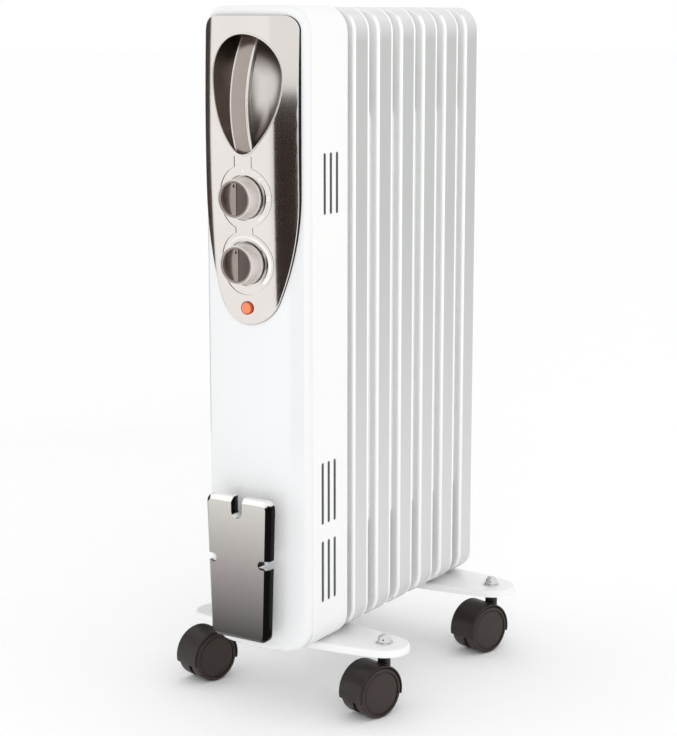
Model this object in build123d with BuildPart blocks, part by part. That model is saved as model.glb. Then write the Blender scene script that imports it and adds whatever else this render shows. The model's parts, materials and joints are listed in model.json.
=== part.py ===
from build123d import *
from math import cos, radians, sin, sqrt
import os

os.makedirs("parts", exist_ok=True)

# An oil filled radiator heater on casters. The control case faces -Y, the fins stack towards +Y,
# +X is to the right of someone standing in front, and the floor is at Z = 0. Millimetres.

# ---------------------------------------------------------------- driving dimensions: casters
wheel_radius = 23.5
wheel_width = 12.3
wheel_gap = 3.0  # from the caster's middle plane to each wheel's inner face
wheel_cap = 2.1  # closed end of the wheel's bore
wheel_rim = 2.9  # radial width of the rim ring on the outer face
wheel_bevel = 1.0  # bevel of the tread's inner edge
wheel_round = 1.6  # rounding of the tread's outer edge
wheel_groove, wheel_groove_width, wheel_groove_slope = 1.2, 1.6, 0.4
wheel_disc_set = 0.5  # the disc's edge lies this far below its middle
axle_radius = 3.0
axle_end_gap = 0.2
running_clearance = 0.05
caster_trail = 16.6
caster_swivel = 17.0  # how far the casters stand swivelled at rest
hood_clearance = 0.8
hood_wall = 1.7
hood_skirt = 5.4  # how far the hood reaches below the axle
hood_side_inset = 0.3  # from a wheel's outer face to the hood's side
hood_round = 0.8
web_thickness = 5.0
web_drop = 12.0
neck_radius = 6.0
neck_top_gap = 0.3
stem_radius = 4.0
stem_foot_gap = 0.4  # between the stem's foot and the wheels' room
stem_socket_gap = 0.5
stem_reach = 1.0  # how far the stem reaches into the nut's dome
stem_collar_radius = 7.0
stem_collar = 1.5
stem_track = 185.0

# ---------------------------------------------------------------- driving dimensions: foot plates
rim_clearance = 8.5  # air between a caster's hood and the foot plate's rim
rim_depth = 6.5
rim_roll = 3.0
plate_sheet = 2.0
plate_end_radius = 24.0
plate_margin = 3.15  # from the farthest pad to the plate's edge
pad_height = 2.0
pad_half_length = 28.0
pad_depth = 13.0
pad_slope = 20.0
hole_clearance = 0.2
rear_foot_shift = 6.0  # the rear foot plate sits this far behind its U-bolt

# ---------------------------------------------------------------- driving dimensions: fins
fin_count = 7
fin_width = 106.2
fin_height = 572.1
fin_corner = 22.0
fin_flange = 25.0
fin_pitch = 41.2
fin_bend = 3.0
sheet = 0.6
channel_margin = 8.0  # from the fin's side to the oil channel
channel_end = 88.0  # from the fin's top or bottom to the wide part of the channel
channel_corner = 12.0
channel_rise = 4.5
channel_slope = 30.0
header_inset = 58.0  # from the fin's top or bottom to the header's axis
header_pad_radius = 34.0
neck_half_width = 24.0
collar_radius = 23.0
collar_bore = 21.0

# ---------------------------------------------------------------- driving dimensions: control case
case_wall = 1.0
fin_fit = 0.4  # between the first fin and the case around it
case_corner = 24.0
case_depth = 57.5
first_fin = 30.0  # from the case's front edge to the first fin's face
cover_wall = 2.2
cover_crown = 18.0
cover_side = 5.77  # height of the cover's sides, where its crown ends
cover_edge = 8.0
cover_lip = 3.0
cover_lip_fit = 0.2
vent_width = 4.0
vent_spacing = 10.0
upper_vent_length, upper_vent_drop, upper_vent_offset = 54.0, 126.0, 20.0
lower_vent_length, lower_vent_offset = 57.0, 16.0
lower_vent_lifts = (44.5, 117.0)

# ---------------------------------------------------------------- driving dimensions: fascia
fascia_border = 5.5
fascia_top_drop = 8.5
fascia_tip_drop = 276.0
fascia_straight_drop = 160.0
fascia_tip_radius = 33.0
fascia_corner = 13.0
fascia_wall = 2.5
fascia_edge = 1.2
barrel_front = 26.5  # the crown's furthest point ahead of the case's front edge
barrel_side = 12.9  # the crown's reach at the fascia's flanks
barrel_long_radius = 2045.0
barrel_peak_drop = 110.0
barrel_spare = 15.0  # length of the crown's form past the fascia's tip
line_radius = 27.5
line_neck = 9.0
line_width = 1.0
line_depth = 0.5

# ---------------------------------------------------------------- driving dimensions: handle
egg_half = 37.0
egg_top_drop = 23.0
egg_bottom_drop = 128.0
egg_tip_radius = 14.0
bowl_wall = 2.0
bowl_front = 30.0
bowl_fit = 0.1
bowl_back = 12.0  # the bowl's floor behind the case's front edge
grip_half_width = 9.5
grip_thickness = 7.0
grip_reach = 32.0  # the grip's furthest point ahead of the case's front edge
grip_edge = 2.2
grip_top_reach, grip_bottom_reach = 8.0, 21.0
grip_overrun = 5.0  # the grip's ends run into the bowl's wall
grip_belly_drop = 2.0

# ---------------------------------------------------------------- driving dimensions: controls
power_drop = 164.0
thermostat_drop = 221.5
lamp_drop = 261.0
knob_reach = 14.5
knob_base_radius = 19.0
knob_top_radius = 16.8
knob_recess_radius = 15.0
knob_recess = 2.5
knob_face_thickness = 1.0
knob_ridge = 5.0
knob_round = 0.6
knob_seat_gap = 0.4
pocket_gap = 1.0
pocket_depth = 3.0
pocket_floor = 2.0
spindle_radius = 3.0
bush_radius = 4.5
bush_fit = 0.3
switch_size = 32.0
switch_back = 12.0
switch_corner = 3.0
thermostat_height = 40.0
lamp_radius = 6.0
lamp_stalk_radius = 4.5
lamp_flange = 1.0
lamp_dome = 1.5
lamp_body_round = 1.0
lamp_seat = 0.6  # the crown leans, so the lens flange stands this far off it

# ---------------------------------------------------------------- driving dimensions: inside the case
shield_y = 16.0
shield_sheet = 0.6
shield_hole_gap = 5.0
shield_spacing = 12.0  # between neighbours on the heat shield
element_leg_radius, element_leg_gap, element_leg_reach = 4.0, 10.0, 6.0
element_tip_gap = 14.0
element_flange_radius, element_flange = 26.0, 5.0
gasket_thickness = 1.5
cutout_drop = 288.0
cutout_radius, cutout_ear_span, cutout_ear_width, cutout_ear = 8.0, 30.0, 7.0, 2.0
cutout_cap_radius, cutout_cap = 7.0, 5.0
tip_switch_width, tip_switch_height, tip_switch_depth, tip_switch_round = 26.0, 32.0, 18.0, 2.0
terminal_width, terminal_height, terminal_depth, terminal_pitch = 38.0, 16.0, 12.0, 12.0
terminal_hole_radius, terminal_hole_depth = 3.0, 6.0

# ---------------------------------------------------------------- driving dimensions: cord storage
cord_plate_width = 70.0
cord_plate_height = 131.0
cord_plate_lift = 15.5
cord_plate_front = 41.0
cord_plate_depth = 10.5
cord_plate_corner = 10.0
cord_plate_bevel = 3.5
cord_plate_wall = 2.0
top_notch_width, top_notch_depth = 11.0, 18.0
side_notch_width, side_notch_depth, side_notch_lift = 7.5, 11.0, 73.0
post_width, post_height, post_wall = 34.0, 80.0, 3.0
screw_radius, screw_head_radius, screw_head = 1.8, 3.6, 2.5
gland_offset = 9.5
gland_bore_radius = 4.0
gland_body_radius = 6.0
gland_flange_radius = 8.5
gland_drop = 4.0
gland_rise = 8.0
gland_round = 1.5

# ---------------------------------------------------------------- driving dimensions: fixings
u_bolt_radius = 2.5
u_bolt_fit = 0.5
u_bolt_tail = 12.0
wing_hub_radius, wing_height, wing_span, wing_thickness = 5.0, 6.0, 24.0, 2.4
wing_drop = 1.8  # how far the wings reach below the hub
nut_width, nut_height, nut_dome_radius = 13.0, 4.5, 6.0
washer_radius, washer_thickness = 8.0, 1.2


def crown_radius(half, rise):
    """Radius of the arc that falls by rise at half its chord."""
    return (half**2 + rise**2) / (2 * rise)


# ---------------------------------------------------------------- worked-out heights and places
hood_inner = wheel_radius + hood_clearance
hood_outer = hood_inner + hood_wall
hood_half_width = wheel_gap + wheel_width - hood_side_inset
rim_bottom = wheel_radius + hood_outer + rim_clearance
plate_top = rim_bottom + rim_depth
plate_under = plate_top - plate_sheet
neck_top = plate_under - stem_collar - neck_top_gap
stem_foot = wheel_radius + sqrt(hood_inner**2 - (caster_trail - stem_radius) ** 2) + stem_foot_gap
stem_top = plate_top + washer_thickness + nut_height + stem_reach
fin_bottom = plate_top + pad_height
fin_top = fin_bottom + fin_height
fin_mid = (fin_bottom + fin_top) / 2
header_low = fin_bottom + header_inset
header_high = fin_top - header_inset
case_width = fin_width + 2 * (fin_fit + case_wall)
case_bottom = plate_top
case_top = fin_top + fin_fit + case_wall
case_height = case_top - case_bottom
case_mid = (case_top + case_bottom) / 2

# The overall depth runs from the cord plate's face to the rear foot plate's edge, and Y = 0 halves it.
u_bolt_offset = (fin_flange + fin_pitch - channel_rise) / 2
plate_half_depth = u_bolt_offset + rear_foot_shift + (pad_depth - fin_flange) / 2 + plate_margin
front_foot_offset = first_fin + u_bolt_offset
rear_bolt_offset = front_foot_offset + (fin_count - 2) * fin_pitch
rear_foot_offset = rear_bolt_offset + rear_foot_shift
rear_reach = rear_foot_offset + plate_half_depth
case_front = (cord_plate_front - rear_reach) / 2
front_bolt_y = case_front + front_foot_offset
rear_bolt_y = case_front + rear_bolt_offset
front_foot_y = front_bolt_y
rear_foot_y = case_front + rear_foot_offset
stem_x = stem_track / 2
u_bolt_half = collar_radius + u_bolt_fit + u_bolt_radius

fascia_half = case_width / 2 - fascia_border
fascia_top = case_top - fascia_top_drop
power_z = case_top - power_drop
thermostat_z = case_top - thermostat_drop
lamp_z = case_top - lamp_drop
egg_top = case_top - egg_top_drop
egg_bottom = case_top - egg_bottom_drop
egg_mid = (egg_top + egg_bottom) / 2
barrel_peak = case_top - barrel_peak_drop
cover_crown_radius = crown_radius(case_width / 2, cover_crown - cover_side)
barrel_radius = crown_radius(fascia_half, barrel_front - barrel_side)
barrel_axis_y = case_front - barrel_front + barrel_radius
cord_plate_mid = case_bottom + cord_plate_lift + cord_plate_height / 2
screw_places = (cord_plate_mid - post_height / 4, cord_plate_mid + post_height / 4)
shield_hole_radius = element_flange_radius + shield_hole_gap
cutout_z = case_top - cutout_drop
tip_switch_z = header_low + shield_hole_radius + shield_spacing + tip_switch_height / 2
terminal_z = tip_switch_z + tip_switch_height / 2 + shield_spacing + terminal_height / 2


# ---------------------------------------------------------------- shared shapes
def front_plane(y):
    """A sketch plane facing the front at depth y, whose own x and y are X and Z."""
    return Plane(origin=(0, y, 0), x_dir=(1, 0, 0), z_dir=(0, -1, 0))


def side_plane(x):
    """A sketch plane facing +X, whose own x and y are Y and Z."""
    return Plane(origin=(x, 0, 0), x_dir=(0, 1, 0), z_dir=(1, 0, 0))


def fin_face(index):
    """Front face of a fin's sheet; index 0 is the fin inside the control case."""
    return case_front + first_fin + index * fin_pitch


def crown_at(z):
    """The fascia's front on the middle plane at height z."""
    bow = barrel_long_radius - sqrt(barrel_long_radius**2 - (z - barrel_peak) ** 2)
    return case_front - barrel_front + bow


def flank_end(half, start_z, tip_z, tip_radius):
    """Where a flank that leaves (half, start_z) vertically runs tangent into a tip circle."""
    drop = start_z - tip_z
    flank_radius = (drop**2 + half**2 - tip_radius**2) / (2 * (half - tip_radius))
    reach = flank_radius - tip_radius
    return tip_radius * (flank_radius - half) / reach, tip_z - tip_radius * drop / reach


def save(piece, name):
    """Labels a finished piece and writes it as its own STEP file."""
    piece.part.label = name
    export_step(piece.part, f"parts/{name}.step")


# ---------------------------------------------------------------- fins
def channel_outline(inset):
    """The pressed oil channel seen from the front: a wide field, two necks and two header pads."""
    field_half = fin_width / 2 - channel_margin - inset
    field_height = fin_height - 2 * (channel_end + inset)
    with Locations((0, fin_mid)):
        RectangleRounded(2 * field_half, field_height, channel_corner - inset)
        Rectangle(2 * (neck_half_width - inset), header_high - header_low)
    with Locations((0, header_low), (0, header_high)):
        Circle(header_pad_radius - inset)


def make_fin(index):
    """One fin: two sheets welded face to face, shown as a flanged tray with a hollow channel."""
    face = fin_face(index)
    last = index == fin_count - 1
    headers = Locations((0, header_low), (0, header_high))
    with BuildPart() as fin:
        with BuildSketch(front_plane(face + fin_flange)):
            with Locations((0, fin_mid)):
                RectangleRounded(fin_width, fin_height, fin_corner)
        extrude(amount=fin_flange)
        fillet(fin.faces().sort_by(Axis.Y)[0].edges(), fin_bend)
        offset(amount=-sheet, openings=fin.faces().sort_by(Axis.Y)[-1])
        with BuildSketch(front_plane(face)):
            channel_outline(0)
        extrude(amount=channel_rise, taper=channel_slope)
        with BuildSketch(front_plane(face + sheet)):
            channel_outline(0)
        extrude(amount=-channel_rise, taper=channel_slope)
        if not last:
            with BuildSketch(front_plane(face + sheet)):
                with headers:
                    Circle(collar_radius)
            extrude(amount=-(fin_pitch - channel_rise - sheet))
        with BuildSketch(front_plane(face + sheet)):
            channel_outline(sheet)
        extrude(amount=sheet, mode=Mode.SUBTRACT)
        for start, reach in ((face, channel_rise - sheet), (face + sheet, sheet - channel_rise)):
            with BuildSketch(front_plane(start)):
                channel_outline(sheet)
            extrude(amount=reach, taper=channel_slope, mode=Mode.SUBTRACT)
        if not last:
            with BuildSketch(front_plane(face)):
                with headers:
                    Circle(collar_bore)
            extrude(amount=-fin_pitch, mode=Mode.SUBTRACT)
        with BuildSketch(front_plane(face)):
            with headers:
                Circle(collar_bore)
        extrude(amount=channel_rise, mode=Mode.SUBTRACT)
    return fin


for fin_index in range(fin_count):
    save(make_fin(fin_index), f"fin_{fin_index + 1}")


# ---------------------------------------------------------------- control case
def crowned_block(inset):
    """The front cover's solid shape, crowned across its width, with every face moved in by inset."""
    with BuildPart() as block:
        with BuildSketch(front_plane(case_front)):
            with Locations((0, case_mid)):
                RectangleRounded(case_width - 2 * inset, case_height - 2 * inset, case_corner - inset)
        extrude(amount=2 * cover_crown)
        with BuildSketch(Plane.XY.offset(case_bottom)):
            with Locations((0, case_front - cover_crown + cover_crown_radius)):
                Circle(cover_crown_radius - inset)
        extrude(amount=case_height, mode=Mode.INTERSECT)
        fillet(block.faces().sort_by(Axis.Y)[0].edges(), cover_edge - inset)
    return block.part


def barrel(inset):
    """The fascia's crown as a long barrel on a vertical axis, its skin moved in by inset."""
    half_length = fascia_tip_drop - barrel_peak_drop + barrel_spare
    belly = barrel_radius - inset
    end = belly - barrel_long_radius + sqrt(barrel_long_radius**2 - half_length**2)
    with BuildPart() as body:
        with BuildSketch(side_plane(0)):
            with BuildLine():
                low = (barrel_axis_y, barrel_peak - half_length)
                high = (barrel_axis_y, barrel_peak + half_length)
                low_end = (barrel_axis_y + end, barrel_peak - half_length)
                high_end = (barrel_axis_y + end, barrel_peak + half_length)
                Line(low, low_end)
                ThreePointArc(low_end, (barrel_axis_y + belly, barrel_peak), high_end)
                Line(high_end, high)
                Line(high, low)
            make_face()
        revolve(axis=Axis((0, barrel_axis_y, 0), (0, 0, 1)))
    return body.part


def fascia_outline(inset):
    """Straight flanks that taper to a rounded tip, under a top edge with rounded corners."""
    half = fascia_half - inset
    top = fascia_top - inset
    straight_z = case_top - fascia_straight_drop
    tip_z = case_top - fascia_tip_drop + fascia_tip_radius
    tip = fascia_tip_radius - inset
    corner = fascia_corner - inset
    x, z = flank_end(half, straight_z, tip_z, tip)
    with BuildSketch() as outline:
        with BuildLine():
            Line((-half + corner, top), (half - corner, top))
            TangentArc((half - corner, top), (half, top - corner), tangent=(1, 0))
            Line((half, top - corner), (half, straight_z))
            TangentArc((half, straight_z), (x, z), tangent=(0, -1))
            ThreePointArc((x, z), (0, tip_z - tip), (-x, z))
            TangentArc((-half, straight_z), (-x, z), tangent=(0, -1))
            Line((-half, straight_z), (-half, top - corner))
            TangentArc((-half + corner, top), (-half, top - corner), tangent=(-1, 0))
        make_face()
    return outline.sketch


def egg_outline(grow, size=1.0):
    """The handle opening: an egg with its small end down, grown evenly or scaled about its middle."""
    half = egg_half * size + grow
    tip = egg_tip_radius * size + grow
    high = egg_mid + (egg_top - egg_half - egg_mid) * size
    low = egg_mid + (egg_bottom + egg_tip_radius - egg_mid) * size
    x, z = flank_end(half, high, low, tip)
    with BuildSketch() as outline:
        with BuildLine():
            ThreePointArc((-half, high), (0, high + half), (half, high))
            TangentArc((half, high), (x, z), tangent=(0, -1))
            ThreePointArc((x, z), (0, low - tip), (-x, z))
            TangentArc((-half, high), (-x, z), tangent=(0, -1))
        make_face()
    return outline.sketch


def bowl_form(grow):
    """The handle bowl as a solid: egg sections that shrink towards its floor, grown by a wall.

    Each section is a depth from the case's front edge, the egg's size and the wall's share behind it.
    """
    bowl_sections = (
        (-bowl_front, 1.0, 0.0),
        (-0.7 * bowl_back, 0.97, 0.2),
        (0.25 * bowl_back, 0.86, 0.6),
        (0.8 * bowl_back, 0.64, 0.9),
    )
    with BuildPart() as form:
        for y, size, share in bowl_sections:
            with BuildSketch(front_plane(case_front + y + grow * share)):
                add(egg_outline(grow, size))
        with BuildSketch(front_plane(case_front + bowl_back + grow)):
            add(egg_outline(grow, 0.34))
        loft()
    return form.part


def vent_slots(y_offset, lift, length):
    """Three upright slots, drawn side by side on a side plane."""
    first = case_front + y_offset
    with Locations(*[(first + step * vent_spacing, lift + length / 2) for step in range(3)]):
        SlotOverall(length, vent_width, rotation=90)


with BuildPart() as control_housing:
    with BuildSketch(front_plane(case_front + case_depth)):
        with Locations((0, case_mid)):
            RectangleRounded(case_width, case_height, case_corner)
            inner_width, inner_height = case_width - 2 * case_wall, case_height - 2 * case_wall
            RectangleRounded(inner_width, inner_height, case_corner - case_wall, mode=Mode.SUBTRACT)
    extrude(amount=case_depth)
    with BuildSketch(side_plane(-case_width)):
        vent_slots(upper_vent_offset, case_top - upper_vent_drop - upper_vent_length, upper_vent_length)
        for vent_lift in lower_vent_lifts:
            vent_slots(lower_vent_offset, case_bottom + vent_lift, lower_vent_length)
    extrude(amount=2 * case_width, mode=Mode.SUBTRACT)
    with BuildSketch(Plane.XY.offset(case_bottom)):
        with Locations((0, case_front + gland_offset)):
            Circle(gland_body_radius)
    extrude(amount=case_wall, mode=Mode.SUBTRACT)
save(control_housing, "control_housing")

with BuildPart() as front_cover:
    add(crowned_block(0))
    add(crowned_block(cover_wall), mode=Mode.SUBTRACT)
    with BuildSketch(front_plane(case_front + cover_lip)):
        with Locations((0, case_mid)):
            lip_inset = case_wall + cover_lip_fit
            RectangleRounded(case_width - 2 * lip_inset, case_height - 2 * lip_inset, case_corner - lip_inset)
            lip_inner = lip_inset + case_wall
            RectangleRounded(case_width - 2 * lip_inner, case_height - 2 * lip_inner,
                             case_corner - lip_inner, mode=Mode.SUBTRACT)
    extrude(amount=cover_lip + cover_wall)
    with BuildSketch(front_plane(case_front)):
        add(egg_outline(bowl_wall + pocket_gap))
    extrude(amount=2 * cover_crown, mode=Mode.SUBTRACT)
    with BuildSketch(front_plane(case_front)):
        with Locations((0, power_z), (0, thermostat_z)):
            Circle(knob_base_radius + pocket_gap + pocket_floor + pocket_gap)
        with Locations((0, lamp_z)):
            Circle(lamp_stalk_radius + bush_fit)
        with Locations(*[(0, screw_z) for screw_z in screw_places]):
            Circle(screw_radius + hole_clearance)
    extrude(amount=2 * cover_crown, mode=Mode.SUBTRACT)
save(front_cover, "front_cover")

# The fascia: a thin shell on the cover, with two knob pockets, the handle opening and an engraved line.
with BuildPart() as fascia:
    with BuildSketch(front_plane(case_front)):
        add(fascia_outline(0))
    extrude(amount=2 * barrel_front)
    add(barrel(0), mode=Mode.INTERSECT)
    fillet(fascia.faces().sort_by(Axis.Y)[0].edges(), fascia_edge)
    with BuildPart(mode=Mode.PRIVATE) as fascia_hollow:
        with BuildSketch(front_plane(case_front)):
            add(fascia_outline(fascia_wall))
        extrude(amount=2 * barrel_front)
        add(barrel(fascia_wall), mode=Mode.INTERSECT)
    add(fascia_hollow.part, mode=Mode.SUBTRACT)
    for knob_z in (power_z, thermostat_z):
        floor_y = crown_at(knob_z) + pocket_depth
        with BuildSketch(front_plane(floor_y + pocket_floor)):
            with Locations((0, knob_z)):
                Circle(knob_base_radius + pocket_gap + pocket_floor)
        extrude(amount=pocket_floor + pocket_depth - fascia_wall / 2)
        with BuildSketch(front_plane(floor_y)):
            with Locations((0, knob_z)):
                Circle(knob_base_radius + pocket_gap)
        extrude(amount=2 * pocket_depth, mode=Mode.SUBTRACT)
        with BuildSketch(front_plane(case_front)):
            with Locations((0, knob_z)):
                Circle(bush_radius + bush_fit)
        extrude(amount=2 * barrel_front, mode=Mode.SUBTRACT)
    add(crowned_block(0), mode=Mode.SUBTRACT)
    with BuildSketch(front_plane(case_front)):
        add(egg_outline(0))
        with Locations((0, lamp_z)):
            Circle(lamp_stalk_radius + bush_fit)
    extrude(amount=2 * barrel_front, mode=Mode.SUBTRACT)
    with BuildPart(mode=Mode.PRIVATE) as line_cut:
        with BuildSketch(front_plane(case_front)):
            for grow, line_mode in ((line_width / 2, Mode.ADD), (-line_width / 2, Mode.SUBTRACT)):
                with Locations((0, power_z), (0, thermostat_z)):
                    Circle(line_radius + grow, mode=line_mode)
                with Locations((0, (thermostat_z + egg_bottom) / 2)):
                    Rectangle(2 * (line_neck + grow), egg_bottom - thermostat_z, mode=line_mode)
        extrude(amount=2 * barrel_front)
        add(barrel(line_depth), mode=Mode.SUBTRACT)
    add(line_cut.part, mode=Mode.SUBTRACT)
save(fascia, "fascia")

# ---------------------------------------------------------------- carrying handle
with BuildPart() as handle_bowl:
    add(bowl_form(bowl_wall))
    add(bowl_form(0), mode=Mode.SUBTRACT)
    add(barrel(fascia_wall + bowl_fit), mode=Mode.INTERSECT)
save(handle_bowl, "handle_bowl")

with BuildPart() as handle_grip:
    with BuildSketch(side_plane(-grip_half_width)):
        with BuildLine():
            outer = [(case_front - grip_top_reach, egg_top + grip_overrun),
                     (case_front - grip_reach, egg_mid - grip_belly_drop),
                     (case_front - grip_bottom_reach, egg_bottom - grip_overrun)]
            inner = [(y + grip_thickness, z) for y, z in outer]
            ThreePointArc(*outer)
            Line(outer[-1], inner[-1])
            ThreePointArc(*inner)
            Line(inner[0], outer[0])
        make_face()
    extrude(amount=2 * grip_half_width)
    fillet(handle_grip.edges().filter_by(GeomType.CIRCLE), grip_edge)
    with BuildPart(mode=Mode.PRIVATE) as grip_room:
        add(bowl_form(0))
        with BuildSketch(front_plane(case_front - bowl_front)):
            add(egg_outline(0))
        extrude(amount=grip_reach)
    add(grip_room.part, mode=Mode.INTERSECT)
save(handle_grip, "handle_grip")


# ---------------------------------------------------------------- knobs, switch and thermostat
def make_knob(z):
    """A flared knob with a recessed face, open at the back for its spindle."""
    crown = crown_at(z)
    back = crown + pocket_depth - knob_seat_gap
    front = crown - knob_reach
    with BuildPart() as knob:
        with BuildSketch(side_plane(0)):
            with BuildLine():
                Polyline((back, z), (back, z + knob_base_radius), (front, z + knob_top_radius),
                         (front, z + knob_recess_radius), (front + knob_recess, z + knob_recess_radius),
                         (front + knob_recess, z), close=True)
            make_face()
        revolve(axis=Axis((0, back, z), (0, 1, 0)))
        fillet(knob.faces().sort_by(Axis.Y)[0].edges(), knob_round)
        with BuildSketch(front_plane(back)):
            with Locations((0, z)):
                Circle(bush_radius + bush_fit)
        extrude(amount=pocket_depth + knob_seat_gap, mode=Mode.SUBTRACT)
        with BuildSketch(front_plane(back)):
            with Locations((0, z)):
                Circle(spindle_radius)
        extrude(amount=back - front - knob_recess - knob_face_thickness, mode=Mode.SUBTRACT)
    return knob


def make_knob_face(z):
    """The dark disc in a knob's recess, with an upright finger ridge."""
    floor_y = crown_at(z) - knob_reach + knob_recess
    with BuildPart() as face:
        with BuildSketch(front_plane(floor_y)):
            with Locations((0, z)):
                Circle(knob_recess_radius)
        extrude(amount=knob_face_thickness)
        with BuildSketch(front_plane(floor_y)):
            with Locations((0, z)):
                Rectangle(knob_ridge, 2 * knob_recess_radius)
                Circle(knob_recess_radius, mode=Mode.INTERSECT)
        extrude(amount=knob_recess + knob_face_thickness)
    return face


def make_spindle(z):
    """The round shaft that carries a knob into its switch."""
    tip = crown_at(z) - knob_reach + knob_recess + knob_face_thickness
    with BuildPart() as spindle:
        with BuildSketch(front_plane(case_front + switch_back / 2)):
            with Locations((0, z)):
                Circle(spindle_radius)
        extrude(amount=case_front + switch_back / 2 - tip)
    return spindle


def make_control_body(z, height):
    """A switch or thermostat body with a bush through the fascia and a running bore for the spindle."""
    bush_tip = crown_at(z) + pocket_depth - knob_seat_gap
    body_front = case_front - cover_crown + cover_wall + pocket_depth + pocket_floor + bush_fit
    with BuildPart() as body:
        with BuildSketch(front_plane(case_front + switch_back)):
            with Locations((0, z)):
                RectangleRounded(switch_size, height, switch_corner)
        extrude(amount=case_front + switch_back - body_front)
        with BuildSketch(front_plane(body_front)):
            with Locations((0, z)):
                Circle(bush_radius)
        extrude(amount=body_front - bush_tip)
        with BuildSketch(front_plane(case_front + switch_back / 2 + running_clearance)):
            with Locations((0, z)):
                Circle(spindle_radius + running_clearance)
        extrude(amount=2 * barrel_front, mode=Mode.SUBTRACT)
    return body


save(make_knob(power_z), "power_knob")
save(make_knob_face(power_z), "power_knob_face")
save(make_spindle(power_z), "power_spindle")
save(make_control_body(power_z, switch_size), "power_switch")
save(make_knob(thermostat_z), "thermostat_knob")
save(make_knob_face(thermostat_z), "thermostat_knob_face")
save(make_spindle(thermostat_z), "thermostat_spindle")
save(make_control_body(thermostat_z, thermostat_height), "thermostat")

# ---------------------------------------------------------------- lamp
lens_back = crown_at(lamp_z) - lamp_seat
dome_foot = lens_back - lamp_flange
with BuildPart() as lamp_lens:
    with BuildSketch(side_plane(0)):
        with BuildLine():
            Polyline((case_front, lamp_z), (case_front, lamp_z + lamp_stalk_radius),
                     (lens_back, lamp_z + lamp_stalk_radius), (lens_back, lamp_z + lamp_radius),
                     (dome_foot, lamp_z + lamp_radius))
            dome_tip = dome_foot - lamp_dome
            TangentArc((dome_tip, lamp_z), (dome_foot, lamp_z + lamp_radius), tangent=(0, 1))
            Line((dome_tip, lamp_z), (case_front, lamp_z))
        make_face()
    revolve(axis=Axis((0, case_front, lamp_z), (0, 1, 0)))
save(lamp_lens, "lamp_lens")

with BuildPart() as lamp_body:
    with BuildSketch(front_plane(case_front + switch_back)):
        with Locations((0, lamp_z)):
            Circle(lamp_radius)
    extrude(amount=switch_back)
    fillet(lamp_body.faces().sort_by(Axis.Y)[-1].edges(), lamp_body_round)
save(lamp_body, "lamp_body")

# ---------------------------------------------------------------- heating element and oil fittings
oil_face = fin_face(0) - channel_rise
element_tip = fin_face(fin_count - 1) - channel_rise - element_tip_gap
element_end = element_tip - element_leg_gap - element_leg_radius

with BuildPart() as element_gasket:
    with BuildSketch(front_plane(oil_face)):
        with Locations((0, header_low)):
            Circle(element_flange_radius)
            Circle(collar_bore, mode=Mode.SUBTRACT)
    extrude(amount=gasket_thickness)
save(element_gasket, "element_gasket")

with BuildPart() as heating_element:
    with BuildSketch(front_plane(oil_face - gasket_thickness)):
        with Locations((0, header_low)):
            RegularPolygon(element_flange_radius, 6, major_radius=False)
    extrude(amount=element_flange)
    with BuildLine() as hairpin:
        leg_front = case_front + shield_y - element_leg_reach
        Line((-element_leg_gap, leg_front, header_low), (-element_leg_gap, element_end, header_low))
        ThreePointArc((-element_leg_gap, element_end, header_low),
                      (0, element_end + element_leg_gap, header_low),
                      (element_leg_gap, element_end, header_low))
        Line((element_leg_gap, element_end, header_low), (element_leg_gap, leg_front, header_low))
    with BuildSketch(Plane(origin=(-element_leg_gap, leg_front, header_low), z_dir=(0, 1, 0))):
        Circle(element_leg_radius)
    sweep()
save(heating_element, "heating_element")

with BuildPart() as filler_plug:
    with BuildSketch(front_plane(oil_face)):
        with Locations((0, header_high)):
            RegularPolygon(element_flange_radius, 6, major_radius=False)
    extrude(amount=element_flange)
    with BuildSketch(front_plane(oil_face)):
        with Locations((0, header_high)):
            Circle(collar_bore)
    extrude(amount=-channel_rise)
save(filler_plug, "filler_plug")

with BuildPart() as heat_shield:
    shield_half = case_width / 2 - case_wall - cover_lip_fit
    shield_end = case_wall + cover_lip_fit
    with BuildSketch(front_plane(case_front + shield_y + shield_sheet)):
        with Locations((0, case_mid)):
            RectangleRounded(2 * shield_half, case_height - 2 * shield_end, case_corner - shield_end)
        with Locations((0, header_low), (0, header_high)):
            Circle(shield_hole_radius, mode=Mode.SUBTRACT)
    extrude(amount=shield_sheet)
save(heat_shield, "heat_shield")

with BuildPart() as thermal_cutout:
    with BuildSketch(front_plane(case_front + shield_y)):
        with Locations((0, cutout_z)):
            Circle(cutout_radius)
            Rectangle(cutout_ear_span, cutout_ear_width)
    extrude(amount=cutout_ear)
    with BuildSketch(front_plane(case_front + shield_y - cutout_ear)):
        with Locations((0, cutout_z)):
            Circle(cutout_cap_radius)
    extrude(amount=cutout_cap)
save(thermal_cutout, "thermal_cutout")

with BuildPart() as tip_over_switch:
    with BuildSketch(front_plane(case_front + shield_y)):
        with Locations((0, tip_switch_z)):
            RectangleRounded(tip_switch_width, tip_switch_height, tip_switch_round)
    extrude(amount=tip_switch_depth)
    fillet(tip_over_switch.faces().sort_by(Axis.Y)[0].edges(), tip_switch_round)
save(tip_over_switch, "tip_over_switch")

with BuildPart() as terminal_block:
    with BuildSketch(front_plane(case_front + shield_y)):
        with Locations((0, terminal_z)):
            Rectangle(terminal_width, terminal_height)
    extrude(amount=terminal_depth)
    with BuildSketch(front_plane(case_front + shield_y - terminal_depth)):
        with Locations((-terminal_pitch, terminal_z), (0, terminal_z), (terminal_pitch, terminal_z)):
            Circle(terminal_hole_radius)
    extrude(amount=-terminal_hole_depth, mode=Mode.SUBTRACT)
save(terminal_block, "terminal_block")

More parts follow.
